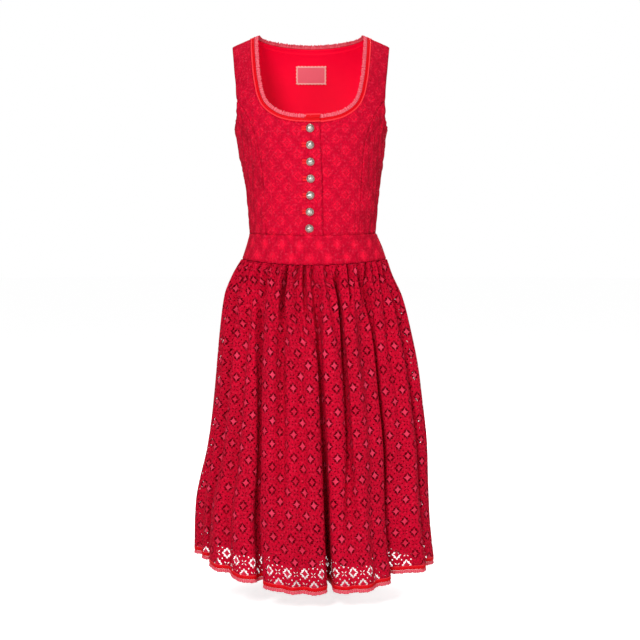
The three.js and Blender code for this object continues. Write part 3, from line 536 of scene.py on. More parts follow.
# Fluted cloth with painted shade and painted highlight that follow its flutes, from the value "flute" from 0
# to 1 that the piece gives
def frillMaterial():
    material, tree, shader, cloth = startMaterial("frillCloth", 0.75, 0.05, colour(255, 160, 165))
    weave = useGroup(tree, threads, Cloth=cloth, Pitch=0.9, Slub=0.3)
    fine = patchy(tree, cloth, 22.0)["Fine"]
    # Painted shade and highlight: the flute value darkens the troughs and lightens the crests, with random
    # fine tone on top
    tone = (attribute(tree, "flute") * 0.45 + weave["Tone"] * 0.5 + (fine - 0.42) * 0.9).limited()
    base = mixColour(tree, tone, colour(212, 58, 80), colour(252, 142, 150))
    dress(tree, shader, base, weave["Height"], 0.4, 0.0003)
    return material


def silverMaterial():
    material = bpy.data.materials.new("wornSilver")
    material.use_nodes = True
    tree = material.node_tree
    shader = tree.nodes["Principled BSDF"]
    shader.inputs["Metallic"].default_value = 1.0
    place = Field(tree, put(tree, "ShaderNodeTexCoord").outputs["Object"])
    patch = patchy(tree, place, 120.0)
    recess = attribute(tree, "recess")
    dark = (recess * 0.8 + (patch["Patch"] - 0.5) * 0.6).limited()
    fill(tree, shader.inputs["Roughness"], (patch["Fine"] * 0.45 + recess * 0.25).limited())
    base = mixColour(tree, dark, colour(218, 210, 200), colour(84, 76, 70))
    dress(tree, shader, base, patch["Fine"], 0.25, 0.0002)
    return material


def labelMaterial(width, height):
    material, tree, shader, cloth = startMaterial("labelWeave", 0.7, 0.1, colour(255, 190, 190))
    weave = useGroup(tree, threads, Cloth=cloth, Pitch=0.6, Slub=0.2)
    along, up = parted(tree, cloth)
    fromEdge = maths(tree, "MINIMUM", width / 2 - abs(along * 1000), height / 2 - abs(up * 1000))
    border = softStep(3 - fromEdge, 0.5)
    tone = (weave["Tone"] + 0.6).limited()
    ground = mixColour(tree, tone, colour(222, 84, 104), colour(244, 116, 130))
    pale = mixColour(tree, tone, colour(236, 160, 155), colour(255, 196, 188))
    dress(tree, shader, mixColour(tree, border, ground, pale), weave["Height"] + border * 1.5, 0.5, 0.0004)
    return material


liningLook = plainClothMaterial("liningCloth", colour(255, 0, 58), colour(244, 0, 48), 0.5, 0.55)
# Painted shade: the skirt lining is the same bright red as the bodice lining, given a darker colour for the
# shade it hangs in under the lace
skirtLiningShadedLook = plainClothMaterial("skirtLiningPaintedShade", colour(190, 0, 32), colour(156, 0, 26), 0.5, 0.6)
frillLook = frillMaterial()
neckTapeLook = tapeMaterial("neckTape", 2.6)
hemTapeLook = tapeMaterial("hemTape", 1.6)
silverLook = silverMaterial()
threadLook = plainClothMaterial("sewingThread", colour(255, 48, 58), colour(255, 22, 44), 0.4, 0.5)
seamLook = plainClothMaterial("seamThread", colour(206, 6, 40), colour(176, 0, 30), 0.4, 0.6)
labelThread = plainClothMaterial("labelThread", colour(255, 200, 196), colour(240, 160, 160), 0.4, 0.6)
print("materials ready")


# Bodice

frontNeck = {"x": [0, 30, 57, 79, 96, 107, 113, 117, 119, 120],
             "z": [-169, -167.5, -162, -150.5, -134, -109, -76, -38, -12, 6], "turn": 107}
frontSide = {"below": [120, 145, 180, 230, 300, 400], "x": [143, 129, 113, 101, 95, 91]}
backSide = {"below": [120, 145, 180, 230, 300, 400], "x": [146, 122, 98, 80, 66, 56]}
frontArmhole = {"below": [0, 45, 88, 120, 148, 168, 178], "angle": [63, 60, 58, 58.5, 64, 75, 90]}
backArmhole = {"below": [0, 45, 88, 120, 148, 168, 178], "angle": [63, 61, 60, 61, 66, 77, 90]}
backNeck = {"x": [0, 40, 80, 106, 120], "z": [-17.5, -16, -11, -3, 6]}
placket = {"top": 18, "waist": 20.5, "underlap": -18, "step": 3, "stepStart": 22.5, "stepWidth": 9}
princessTop = 120
bodice = {"fine": 5, "wall": 1.6, "seamRoll": 0.9, "rollWidth": 2.6, "pucker": 0.8}


def frontNeckHeight(x):
    return readTable(frontNeck["x"], frontNeck["z"], np.abs(x))


def princessEdge(seam, armhole, side, shift, count):
    root = np.linspace(math.sqrt(-torso["waist"]), math.sqrt(princessTop), count + 1)
    half = readTable(torsoRoots, torso["half"], root)
    limit = readTable(armhole["below"], armhole["angle"], root ** 2) * rad + shift / half
    lean = np.minimum(np.arcsin((readTable(seam["below"], seam["x"], root ** 2) + shift) / half), limit)
    angle = lean if side > 0 else math.pi - lean
    root[0] = waistRoot(angle[0])
    return np.stack([angle, root], axis=-1)


def armholeEdge(armhole, side, count):
    root = np.linspace(math.sqrt(princessTop), torso["shoulderRoot"], count + 1)
    lean = readTable(armhole["below"], armhole["angle"], root ** 2) * rad
    return np.stack([lean if side > 0 else math.pi - lean, root], axis=-1)


# The strap's inner edge, from where the neckline turns up to the shoulder
def strapNeck(count):
    turn = frontNeck["x"].index(frontNeck["turn"])
    xs, zs = np.array(frontNeck["x"][turn:], float), np.array(frontNeck["z"][turn:], float)
    z = mix(zs[0], zs[-1], 1 - (1 - np.linspace(0, 1, count + 1)) ** 1.5)
    return readTable(zs, xs, z), z


# One front in the +X half, from the waist to the neckline and up the strap
def frontPlaces(necks, waists):
    fine = bodice["fine"]
    knots = np.arange(len(necks))
    at = np.linspace(0, len(necks) - 1, (len(necks) - 1) * fine + 1)
    neckX, waistX = np.interp(at, knots, necks), np.interp(at, knots, waists)
    rows, strapRows, strapColumns = 9 * fine, 9 * fine, 3 * fine
    seam = princessEdge(frontSide, frontArmhole, 1, -seamGap / 2, rows)
    neck = torsoPlace(neckX, frontNeckHeight(neckX), 1)
    across = np.linspace(0, 1, strapColumns + 1)[1:, None]
    top = np.concatenate([neck, mix(neck[-1], seam[-1], across)])
    waist = waistPlace(waistX, 1)
    bottom = np.concatenate([waist, mix(waist[-1], seam[0], across)])
    v = np.linspace(0, 1, rows + 1)
    lowZ, highZ = torso["waist"] - torso["waistDip"], frontNeckHeight(necks[0])
    edge = torsoPlace(mix(waists[0], necks[0], v), mix(lowZ, highZ, v), 1)
    edge[0] = bottom[0]
    lower = insideEdges(bottom, top, edge, seam)
    near = torsoPlace(*strapNeck(strapRows), 1)
    far = armholeEdge(frontArmhole, 1, strapRows)
    strap = mix(near[1:, None], far[1:, None], np.linspace(0, 1, strapColumns + 1)[None, :, None])
    upper = np.concatenate([np.repeat(strap[:, :1], len(neckX) - 1, axis=1), strap], axis=1)
    inStrap = lambda column, row: row >= rows and column < len(neckX) - 1
    return np.concatenate([lower, upper]), inStrap


def underlap(angle, root):
    across = readTable(torsoRoots, torso["half"], root) * np.sin(angle)
    start = placket["stepStart"]
    return -placket["step"] * (1 - smooth(start, start + placket["stepWidth"], across))


# Small upright puckers beside the side seams and under the arms, softer at the front
def puckers(angle, root):
    cloth = clothOn(angle, root)
    across, below = cloth[..., 0], root ** 2
    sideways = smooth(0.45, 1.1, np.abs(np.sin(angle)) * np.where(np.cos(angle) > 0, 1, 0.85))
    strong = bodice["pucker"] * (0.2 + 1.5 * sideways) * smooth(10, 120, below)
    first = np.sin(across * 0.95 + 2.6 * np.sin(below * 0.024) + 1.1 * np.sin(below * 0.071))
    second = np.sin(across * 0.43 + 2.4 * np.sin(below * 0.017 + 1) + 2)
    third = np.sin(across * 0.17 + below * 0.06) * np.sin(below * 0.11 + across * 0.05)
    return strong * (0.5 * first + 0.55 * second + 0.3 * third)


# Panels turn in along their seams; the two numbers say how strongly at each side
def seamRoll(base, left, right):
    run = runLength(base, 1)
    fromRight = run[:, -1:] - run
    width = bodice["rollWidth"]
    return bodice["seamRoll"] * (left * bump(run, 0, width) + right * bump(fromRight, 0, width))


def bodicePanel(name, node, places, starAt, rolls, paintedShade, out=None, missing=None, turned=False):
    if turned:
        places = places * [-1, 1]
    angle, root = places[..., 0], places[..., 1]
    lift = puckers(angle, root) - seamRoll(torsoPoint(angle, root), *rolls)
    lift += out(np.abs(angle) if turned else angle, root) if out else 0
    points = onTorso(angle, root, lift)
    look = bodiceLaceMaterial(name + "Lace", starAt, paintedShade)
    obj = clothPiece(name, node, points, clothOn(angle, root), [look, liningLook],
                     bodice["wall"], missing)
    return obj, points


columnsNeck = [34, 57, 76, 90, 100, 107]
columnsWaist = [34, 48, 59, 67, 73, 78]
overPlaces, noOver = frontPlaces([-placket["top"], 8] + columnsNeck, [-placket["waist"], 6] + columnsWaist)
underPlaces, noUnder = frontPlaces([placket["underlap"], placket["stepStart"]] + columnsNeck,
                                   [placket["underlap"], placket["stepStart"]] + columnsWaist)
starHeight = float(clothOn(np.array([0.3]), np.sqrt(np.array([221.8])))[0, 1])
frontRight = bodicePanel("frontRight", "front_right", overPlaces, (-46, starHeight + 14.5), (0.5, 1), 0.2,
                         missing=noOver, turned=True)
frontLeft = bodicePanel("frontLeft", "front_left", underPlaces, (29.5, starHeight), (0, 1), 0.2, underlap,
                        noUnder)

sidePanels = []
for label, side, seam, armhole, star in (("Front", 1, frontSide, frontArmhole, 10),
                                         ("Back", -1, backSide, backArmhole, 22)):
    fine = bodice["fine"]
    inner = princessEdge(seam, armhole, side, seamGap / 2, 9 * fine)
    seamAngle = math.pi / 2 - side * seamGap / 200
    outer = np.stack([np.full(len(inner), seamAngle),
                      np.linspace(math.sqrt(-torso["waist"]), math.sqrt(178), len(inner))], axis=-1)
    below = np.linspace(princessTop, 178, 5 * fine + 1)
    lean = np.minimum(readTable(armhole["below"], armhole["angle"], below) * rad, math.pi / 2 - seamGap / 200)
    top = np.stack([lean if side > 0 else math.pi - lean, np.sqrt(below)], axis=-1)
    top[0] = inner[-1]
    angles = np.linspace(inner[0, 0], seamAngle, 5 * fine + 1)
    bottom = np.stack([angles, waistRoot(angles)], axis=-1)
    places = insideEdges(bottom, top, inner, outer)
    for hand, turned in (("Left", False), ("Right", True)):
        node = f"side_{label.lower()}_{hand.lower()}"
        sidePanels.append(bodicePanel(f"side{label}{hand}", node, places, (star, starHeight), (1, 1), 0.5,
                                      turned=turned))


def backPlaces():
    fine = bodice["fine"]
    edge = np.concatenate([princessEdge(backSide, backArmhole, -1, -seamGap / 2, 7 * fine),
                           armholeEdge(backArmhole, -1, 7 * fine)[1:]])
    share = 1 - (1 - np.linspace(0, 1, 5 * fine + 1)) ** 1.5
    x = share * backNeck["x"][-1]
    neck = torsoPlace(x, readTable(backNeck["x"], backNeck["z"], x), -1)
    tip = math.pi - backArmhole["angle"][0] * rad
    shoulder = np.linspace(neck[-1, 0], tip, 3 * fine + 1)[1:]
    ridge = np.stack([shoulder, np.full(len(shoulder), torso["shoulderRoot"])], axis=-1)
    half = np.concatenate([neck, ridge])
    mirrored = half * [-1, 1] + [2 * math.pi, 0]
    top = np.concatenate([half[::-1], mirrored[1:]])
    angles = np.linspace(edge[0, 0], 2 * math.pi - edge[0, 0], len(top))
    bottom = np.stack([angles, waistRoot(angles)], axis=-1)
    return insideEdges(bottom, top, edge, edge * [-1, 1] + [2 * math.pi, 0])


places = backPlaces()
backCentre = bodicePanel("backCentre", "back_centre", places, (18, starHeight), (1, 1), 0.4)
liningOut = -(2.2 + seamGap)
angle, root = places[..., 0], places[..., 1]
ripple = 0.5 * np.sin(clothOn(angle, root)[..., 0] * 0.07 + 1.3 * np.sin(root * 0.5)) * smooth(8, 14, root)
liningPoints = onTorso(angle, root, liningOut - 0.15 + np.minimum(ripple, 0.1))
backLining = clothPiece("backLining", "back_lining", liningPoints, clothOn(angle, root),
                        [liningLook], 0.8)
print("bodice done")


# Neck label, plain and blank

label = {"width": 62, "height": 37, "top": -40, "gap": 1.6, "wall": 0.7}
across, down = np.meshgrid(np.linspace(-0.5, 0.5, 49), np.linspace(0, 1, 31))
edgeWave = 0.9 * np.sin(down * 34) * np.clip(np.abs(across) * 2, 0, 1) ** 12 * np.sign(across)
edgeRise = 0.9 * np.sin(across * 56) * np.clip(np.abs(down - 0.5) * 2, 0, 1) ** 12 * np.sign(down - 0.5)
labelPlaces = torsoPlace(across * label["width"] + edgeWave,
                         label["top"] - label["height"] * down - edgeRise, -1)
labelOut = liningOut - 1.0 - label["gap"] + 0.25 * np.sin(across * 9 + 1) * np.sin(down * 5)
labelPoints = onTorso(labelPlaces[..., 0], labelPlaces[..., 1], labelOut)
labelCloth = np.stack([across * label["width"], (0.5 - down) * label["height"]], axis=-1)
neckLabel = clothPiece("neckLabel", "neck_label", labelPoints, labelCloth,
                       [labelMaterial(label["width"], label["height"])], label["wall"])


# Neckline tape and ruche

neckTrim = {"gap": 0.7, "tapeWidth": 7.5, "ruffleWidth": 7.0, "piping": 1.4, "tapeRise": 1.0,
            "flute": 4.3, "fluteDepth": 1.0, "scallop": 1.5}


def neckCurve(start, count):
    low = int(count * 0.45)
    x = np.linspace(start, frontNeck["turn"], low, endpoint=False)
    strapX, strapZ = strapNeck(count - low)
    return np.concatenate([x, strapX]), np.concatenate([frontNeckHeight(x), strapZ])


# Lines beside the front neckline at given distances towards the opening
def besideFront(start, distances):
    x, z = neckCurve(start, distances.shape[1] - 1)
    dx, dz = np.gradient(x), np.gradient(z)
    size = np.hypot(dx, dz)
    movedX = x - dz / size * distances
    movedZ = z + dx / size * distances
    end = smooth(0.86, 1.0, np.linspace(0, 1, len(x)))
    movedZ = mix(np.minimum(movedZ, shoulderHeight(movedX)), shoulderHeight(movedX), end)
    return torsoPlace(movedX, movedZ, 1)


def besideBack(distances):
    end = backNeck["x"][-1]
    share = np.linspace(-1, 1, distances.shape[1])
    x = np.sign(share) * (1 - (1 - np.abs(share)) ** 1.5) * end
    reach = np.abs(x) / end
    z = readTable(backNeck["x"], backNeck["z"], np.abs(x))
    movedX = x * (1 - distances / end * reach ** 3)
    movedZ = z + distances * (1 - 0.55 * reach ** 4)
    movedZ = mix(movedZ, shoulderHeight(movedX), smooth(0.9, 1.0, reach))
    return torsoPlace(movedX, movedZ, -1)


# A trim of even width: where gives its places, lift its height off the cloth, edge the wander of its far edge
def trimStrip(name, node, slotName, where, columns, rows, near, width, lift, edge, look, wall, out=None,
              turned=False):
    across = np.linspace(0, 1, rows + 1)[:, None] * np.ones((1, columns + 1))
    distances = near + width * across
    plain = where(distances)
    along = runLength(torsoPoint(plain[..., 0], plain[..., 1]), 1)
    distances = distances + edge(along[:1], across)
    places = where(distances)
    angle, root = places[..., 0], places[..., 1]
    lowered = out(angle, root) if out else np.zeros_like(angle)
    settled = 0.3 + 0.7 * smooth(0, 4, root - torso["shoulderRoot"])
    raised = settled * lift(along[:1], across) * (1 + lowered / placket["step"] * 0.6)
    points = onTorso(angle, root, lowered + raised)
    if turned:
        points = points * [-1, 1, 1]
    cloth = np.stack([along[:1] * np.ones_like(across), across * width], axis=-1)
    obj = clothPiece(name, node, points, cloth, [look], wall)
    # The flute phase, for the frill's painted shade and highlight along its flutes
    if slotName == "frill":
        giveValues(obj, "flute", 0.5 + 0.5 * flutes(along[:1]) * np.ones_like(across))
    return obj


def tapeLift(along, across):
    bead = neckTrim["piping"] * bump(across, 0.16, 0.15)
    flat = neckTrim["tapeRise"] * smooth(0.34, 0.55, across) * (1 - smooth(0.93, 1.02, across))
    return 0.2 + bead + flat + 0.06 * np.sin(along * 2.4)


def flutes(along):
    turn = along / neckTrim["flute"] * 2 * math.pi
    uneven = 0.7 + 0.3 * np.sin(along * 0.29 + 2 * np.sin(along * 0.043))
    return uneven * np.sin(turn + 1.6 * np.sin(along * 0.11) + 1.1 * np.sin(along * 0.37))


def ruffleLift(along, across):
    swell = 0.9 * np.sin(across * math.pi * 0.8) + 0.3
    return swell + neckTrim["fluteDepth"] * flutes(along) * (0.25 + 0.75 * across)


def ruffleEdge(along, across):
    slow = 0.45 * np.sin(along * 0.55 + 2 * np.sin(along * 0.09)) + 0.3 * np.sin(along * 0.9)
    return neckTrim["scallop"] * (flutes(along + 1.1) + slow) * across ** 3 * 0.6


def noEdge(along, across):
    return 0 * across


# The lining turns up behind the back's tape
facingRows = np.linspace(0, 1, 9)[:, None] * np.ones((1, 121))
facingPlaces = besideBack(mix(-9.0, neckTrim["gap"] + neckTrim["tapeWidth"] + 0.4, facingRows))
facingOut = mix(liningOut - 0.3, -1.3, smooth(0.35, 0.6, facingRows))
facingPoints = onTorso(facingPlaces[..., 0], facingPlaces[..., 1], facingOut)
facingCloth = np.stack([runLength(facingPoints, 1), facingRows * 17], axis=-1)
neckFacing = clothPiece("neckFacing", None, facingPoints, facingCloth, [liningLook], 0.5)

frontRightTrims, frontLeftTrims, backTrims = [], [], [neckFacing]
ruffleNear = neckTrim["gap"] + neckTrim["tapeWidth"] + seamGap
for hand, start, out, turned, kept in (("right", -placket["top"], None, True, frontRightTrims),
                                       ("left", placket["underlap"], underlap, False, frontLeftTrims)):
    where = lambda distances, start=start: besideFront(start, distances)
    kept.append(trimStrip(f"neckTape{hand.title()}", f"neck_cord_{hand}", "braid", where, 260, 14,
                          neckTrim["gap"], neckTrim["tapeWidth"], tapeLift, noEdge, neckTapeLook, 1.0, out,
                          turned))
    kept.append(trimStrip(f"neckRuffle{hand.title()}", f"neck_frill_{hand}", "frill", where, 760, 6,
                          ruffleNear, neckTrim["ruffleWidth"], ruffleLift, ruffleEdge, frillLook, 0.8, out,
                          turned))
backTrims.append(trimStrip("neckTapeBack", "neck_cord_back", "braid", besideBack, 240, 14, -1.6,
                           neckTrim["tapeWidth"] + neckTrim["gap"] + 2.2, tapeLift, noEdge, neckTapeLook,
                           1.0))
backTrims.append(trimStrip("neckRuffleBack", "neck_frill_back", "frill", besideBack, 640, 6, ruffleNear,
                           neckTrim["ruffleWidth"], ruffleLift, ruffleEdge, frillLook, 0.8))

# The tape's end folds over the ruffle at the top of the front edge
fold = {"from": -12, "to": 18, "lift": 2.2, "height": 8.6}
across, up = np.meshgrid(np.linspace(0, 1, 41), np.linspace(0, 1, 15))
foldX = mix(fold["from"], fold["to"], across)
foldZ = frontNeckHeight(foldX) + ruffleNear - 0.6 + fold["height"] * up
foldZ = foldZ - 1.2 * (1 - smooth(0, 0.25, across)) * up
foldPlaces = torsoPlace(foldX, foldZ, 1)
foldLift = fold["lift"] * (1 - 0.7 * (1 - smooth(0, 0.18, across))) * (1 - 0.5 * smooth(0.8, 1, up))
foldLift += 0.5 * bump(up, 0.86, 0.12)
foldPoints = onTorso(foldPlaces[..., 0], foldPlaces[..., 1], foldLift)
foldCloth = np.stack([foldX, (1 - up) * fold["height"]], axis=-1)
frontRightTrims.append(clothPiece("neckTapeFold", None, foldPoints, foldCloth, [neckTapeLook], 0.9))
print("neckline done")


# Buttons and buttonholes

button = {"count": 7, "topX": -1, "lowX": -6, "topZ": -180, "pitch": 32, "radius": 8, "height": 7.5,
          "petals": 8, "beads": 28, "rimHeight": 2.7}
spots = np.arange(button["count"])
buttonPlaces = torsoPlace(mix(button["topX"], button["lowX"], spots / (button["count"] - 1)),
                          button["topZ"] - button["pitch"] * spots, 1)
buttonAt = torsoPoint(buttonPlaces[:, 0], buttonPlaces[:, 1])
buttonOut = torsoNormal(buttonPlaces[:, 0], buttonPlaces[:, 1])


def domeHeight(radius):
    share = min(radius / (button["radius"] - 0.6), 1)
    return 2.6 + (button["height"] - 3.1) * math.sqrt(max(0, 1 - share ** 2)) ** 1.1


# Petals round a small centre, inside a beaded rim
def buttonRelief(radius, turn):
    petal = 0.5 + 0.5 * math.cos(turn * button["petals"])
    ring = math.exp(-((radius - 3.9) / 1.5) ** 2)
    heart = math.exp(-(radius / 1.1) ** 2)
    beads = (0.5 + 0.5 * math.cos(turn * button["beads"])) * math.exp(-((radius - 7.2) / 0.45) ** 2)
    groove = math.exp(-((radius - 6.3) / 0.35) ** 2)
    return 0.45 * petal * ring + 0.5 * heart + 0.4 * beads - 0.45 * groove - 0.3 * (1 - petal) * ring


def makeButton(index):
    bm = bmesh.new()
    profile = [(0.0, 0.5), (5.0, 0.6), (7.0, 1.2), (7.7, 1.8), (8.0, 2.4)]
    rings = (7.0, 6.7, 6.4, 6.1, 5.7, 5.2, 4.7, 4.2, 3.7, 3.2, 2.7, 2.2, 1.7, 1.2, 0.8, 0.4, 0.0)
    profile += [(radius, button["rimHeight"]) for radius in (7.6, 7.3)]
    profile += [(radius, domeHeight(radius)) for radius in rings]
    ring = [bm.verts.new((r, 0, h)) for r, h in profile]
    edges = [bm.edges.new(pair) for pair in zip(ring, ring[1:])]
    bmesh.ops.spin(bm, geom=ring + edges, cent=(0, 0, 0), axis=(0, 0, 1), angle=2 * math.pi, steps=56,
                   use_merge=True)
    bmesh.ops.remove_doubles(bm, verts=bm.verts, dist=0.001)
    bmesh.ops.recalc_face_normals(bm, faces=bm.faces)
    recess = bm.verts.layers.float.new("recess")
    for vert in bm.verts:
        radius = math.hypot(vert.co.x, vert.co.y)
        if vert.co.z > 2.55:
            relief = buttonRelief(radius, math.atan2(vert.co.y, vert.co.x) + index * 0.4)
            vert.co.z += relief
            vert[recess] = min(max(0.35 - relief * 1.3, 0), 1)
        else:
            vert[recess] = 0.5
    out = Vector(buttonOut[index])
    turn = out.to_track_quat("Z", "Y").to_matrix().to_4x4()
    bm.transform(Matrix.Translation(Vector(buttonAt[index]) * mm) @ turn @ Matrix.Scale(mm, 4))
    mesh = bpy.data.meshes.new(f"button{index + 1}")
    bm.to_mesh(mesh)
    bm.free()
    obj = bpy.data.objects.new(mesh.name, mesh)
    finishMesh(obj, [silverLook], f"button_{index + 1}")


for index in range(button["count"]):
    makeButton(index)


# Short rounded stitches, each along its own direction on the torso's or skirt's surface
def stitches(name, centres, directions, normals, length, width, look):
    bm, batch = bmesh.new(), bmesh.new()
    part = bpy.data.meshes.new(name + "Batch")
    batchSize = 30
    size = Matrix.Diagonal((length / 2 * mm, width / 2 * mm, width / 2.6 * mm, 1))
    for index, (centre, direction, normal) in enumerate(zip(centres, directions, normals)):
        along = Vector(direction).normalized()
        up = Vector(normal).normalized()
        side = up.cross(along).normalized()
        up = along.cross(side)
        place = Matrix((along, side, up)).transposed().to_4x4()
        made = bmesh.ops.create_uvsphere(batch, u_segments=6, v_segments=4, radius=1)
        shape = Matrix.Translation(Vector(centre) * mm) @ place @ size
        bmesh.ops.transform(batch, matrix=shape, verts=made["verts"])
        if (index + 1) % batchSize == 0 or index == len(centres) - 1:
            batch.to_mesh(part)
            bm.from_mesh(part)
            batch.clear()
    batch.free()
    bpy.data.meshes.remove(part)
    bmesh.ops.recalc_face_normals(bm, faces=bm.faces)
    mesh = bpy.data.meshes.new(name)
    bm.to_mesh(mesh)
    bm.free()
    mesh.uv_layers.new(name="cloth")
    return finishMesh(bpy.data.objects.new(name, mesh), [look], None)


# Stitches in a row along each line; a line gives its points and the same points a little further out
def stitchRows(name, lines, spacing, width, look):
    centres, directions, normals = [], [], []
    for points, outer in lines:
        run = np.concatenate([[0], np.cumsum(np.linalg.norm(np.diff(points, axis=0), axis=1))])
        at = np.arange(spacing / 2, run[-1], spacing)
        pick = lambda values: np.stack([np.interp(at, run, values[:, axis]) for axis in range(3)], axis=-1)
        centres += list(pick(points))
        directions += list(pick(np.gradient(points, axis=0)))
        normals += list(pick(outer - points))
    return stitches(name, centres, directions, normals, spacing * 0.8, width, look)


def trimLine(where, distance, lift, out=None, turned=False):
    places = where(np.full((1, 400), distance))
    angle, root = places[0, :, 0], places[0, :, 1]
    lowered = out(angle, root) if out else np.zeros_like(angle)
    sign = np.array([-1, 1, 1]) if turned else 1
    return onTorso(angle, root, lowered + lift) * sign, onTorso(angle, root, lowered + lift + 1) * sign


tapeSeam = neckTrim["gap"] + neckTrim["tapeWidth"] * 0.36
for hand, kept, line in (
        ("Right", frontRightTrims,
         trimLine(lambda distance: besideFront(-placket["top"], distance), tapeSeam, 0.7, None, True)),
        ("Left", frontLeftTrims,
         trimLine(lambda distance: besideFront(placket["underlap"], distance), tapeSeam, 0.7, underlap)),
        ("Back", backTrims, trimLine(besideBack, tapeSeam, 0.7))):
    kept.append(stitchRows(f"neckStitches{hand}", [line], 3.2, 0.7, threadLook))

# The label's stitches run just inside its edge and stand towards the front
labelInside = np.concatenate([labelPoints[1, 1:-1], labelPoints[1:-1, -2], labelPoints[-2, -2:0:-1],
                              labelPoints[-2:0:-1, 1]])
forward = labelInside * [1, 0, 1] + [0, -400, 0] - labelInside
labelUp = labelInside + forward / np.linalg.norm(forward, axis=1, keepdims=True)
labelSeam = (labelInside + 0.2 * (labelUp - labelInside), labelUp)
labelStitches = stitchRows("labelStitches", [labelSeam], 2.6, 0.6, labelThread)

holes = {"from": -8.8, "length": 7.6, "rows": (-2.5, 2.5), "stitches": 9}
centres, directions, normals = [], [], []
for index in range(button["count"] - 1):
    near = holes["from"] + buttonPlaces[index, 0] * 60
    for offset in holes["rows"]:
        xs = np.linspace(near - holes["length"], near, holes["stitches"])
        zs = np.full_like(xs, button["topZ"] - button["pitch"] * index + offset)
        place = torsoPlace(xs, zs, 1)
        centres += list(onTorso(place[:, 0], place[:, 1], np.full(len(xs), 1.1)))
        normals += list(torsoNormal(place[:, 0], place[:, 1]))
        directions += [(0.12, 0, 1)] * len(xs)
frontRightTrims.append(stitches("buttonholes", centres, directions, normals, 5.0, 1.5, threadLook))
print("buttons done")


# Waistband

band = {"share": [0, 0.5, 1], "left": [121.5, 128.5, 137], "right": [130, 141, 150], "front": [93, 98, 103],
        "back": [86, 97, 108], "bottom": -432, "dipFront": 11, "dipBack": 4, "wall": 2.0, "ridge": 0.9,
        "overlap": 1.6, "height": 52}
halves = {"front": (-90, 90), "back": (90, 270)}


def ringPoint(row, angle, out):
    across, facing = np.sin(angle), np.cos(angle)
    half = np.where(across > 0, row["right"], row["left"])
    depth = np.where(facing > 0, row["front"], row["back"])
    nx, ny = across / half, -facing / depth
    size = np.hypot(nx, ny)
    x = half * across + nx / size * out
    y = -depth * facing + ny / size * out
    return np.stack([x, y, np.zeros_like(angle)], axis=-1)


def dipAt(angle, front, back):
    facing = np.cos(angle)
    return np.where(facing > 0, front, back) * facing ** 2


def bandBottom(angle):
    return band["bottom"] - dipAt(angle, band["dipFront"], band["dipBack"])


def bandTop(angle):
    return torso["waist"] - dipAt(angle, torso["waistDip"], 0) + band["overlap"]


def bandPoint(angle, share, out):
    row = {key: readTable(band["share"], band[key], share) for key in ("left", "right", "front", "back")}
    point = ringPoint(row, angle, out)
    point[..., 2] = mix(bandTop(angle), bandBottom(angle), share)
    return point


bandPieces, bandStitches = {}, {}
for name, (start, end) in halves.items():
    inset = seamGap / 260
    angles = np.linspace(start * rad + inset, end * rad - inset, 221)
    angle, share = np.meshgrid(angles, np.linspace(0, 1, 33))
    run = runLength(bandPoint(angle, share, 0 * share), 1)
    edges = band["ridge"] * bump(share, 0.035, 0.03)
    edges -= 0.5 * bump(share, 0, 0.012) + 1.2 * bump(share, 1, 0.03)
    sway = 0.35 * np.sin(run * 0.11 + 2 * np.sin(share * 3)) * np.sin(share * math.pi)
    creases = 0.2 * np.sin(run * 0.37 + share * 4) * smooth(0.6, 1, share)
    points = bandPoint(angle, share, 0.5 + edges + sway + creases)
    cloth = np.stack([run - run[:, -1:] / 2, (1 - share) * band["height"]], axis=-1)
    look = bodiceLaceMaterial(f"bandLace{name.title()}", (-8, 12.5), 0.35, 0.9)
    obj = clothPiece(f"waistband{name.title()}", f"waistband_{name}", points, cloth,
                     [look, liningLook], band["wall"])
    bandPieces[name] = (obj, points)
    seams = []
    for level in (0.075, 0.94):
        place = np.full_like(share[:1], level)
        seams.append((bandPoint(angle[:1], place, 0.55)[0], bandPoint(angle[:1], place, 1.55)[0]))
    bandStitches[name] = stitchRows(f"waistStitches{name.title()}", seams, 3.4, 0.6, seamLook)
print("waistband done")


# Skirt

skirt = {
    "drop": [0, 12, 30, 75, 145, 265, 385, 505, 600],
    "left": [139, 146, 156, 173, 182, 192, 206, 230, 234],
    "right": [152, 156, 164, 185, 202, 222, 234, 238, 249],
    "front": [108, 113, 118, 128, 139, 151, 161, 170, 176],
    "back": [113, 120, 127, 142, 159, 177, 190, 200, 206],
    "gather": [14, 18, 17, 10, 4, 0, 0, 0, 0],
    "length": 600, "gathers": 22, "cells": 27, "wall": 1.0,
    "columns": 378, "rows": 118,
    "hem": -1015, "hemFront": 44, "hemBack": 28, "hemTilt": 10, "hemLift": 0.12,
    "hidesCloth": 24,  # depth at the hem from which a fold hides the cloth that a row lacks
    "laidAt": 0.7,  # how far down the threads are counted when the lace is laid out
}
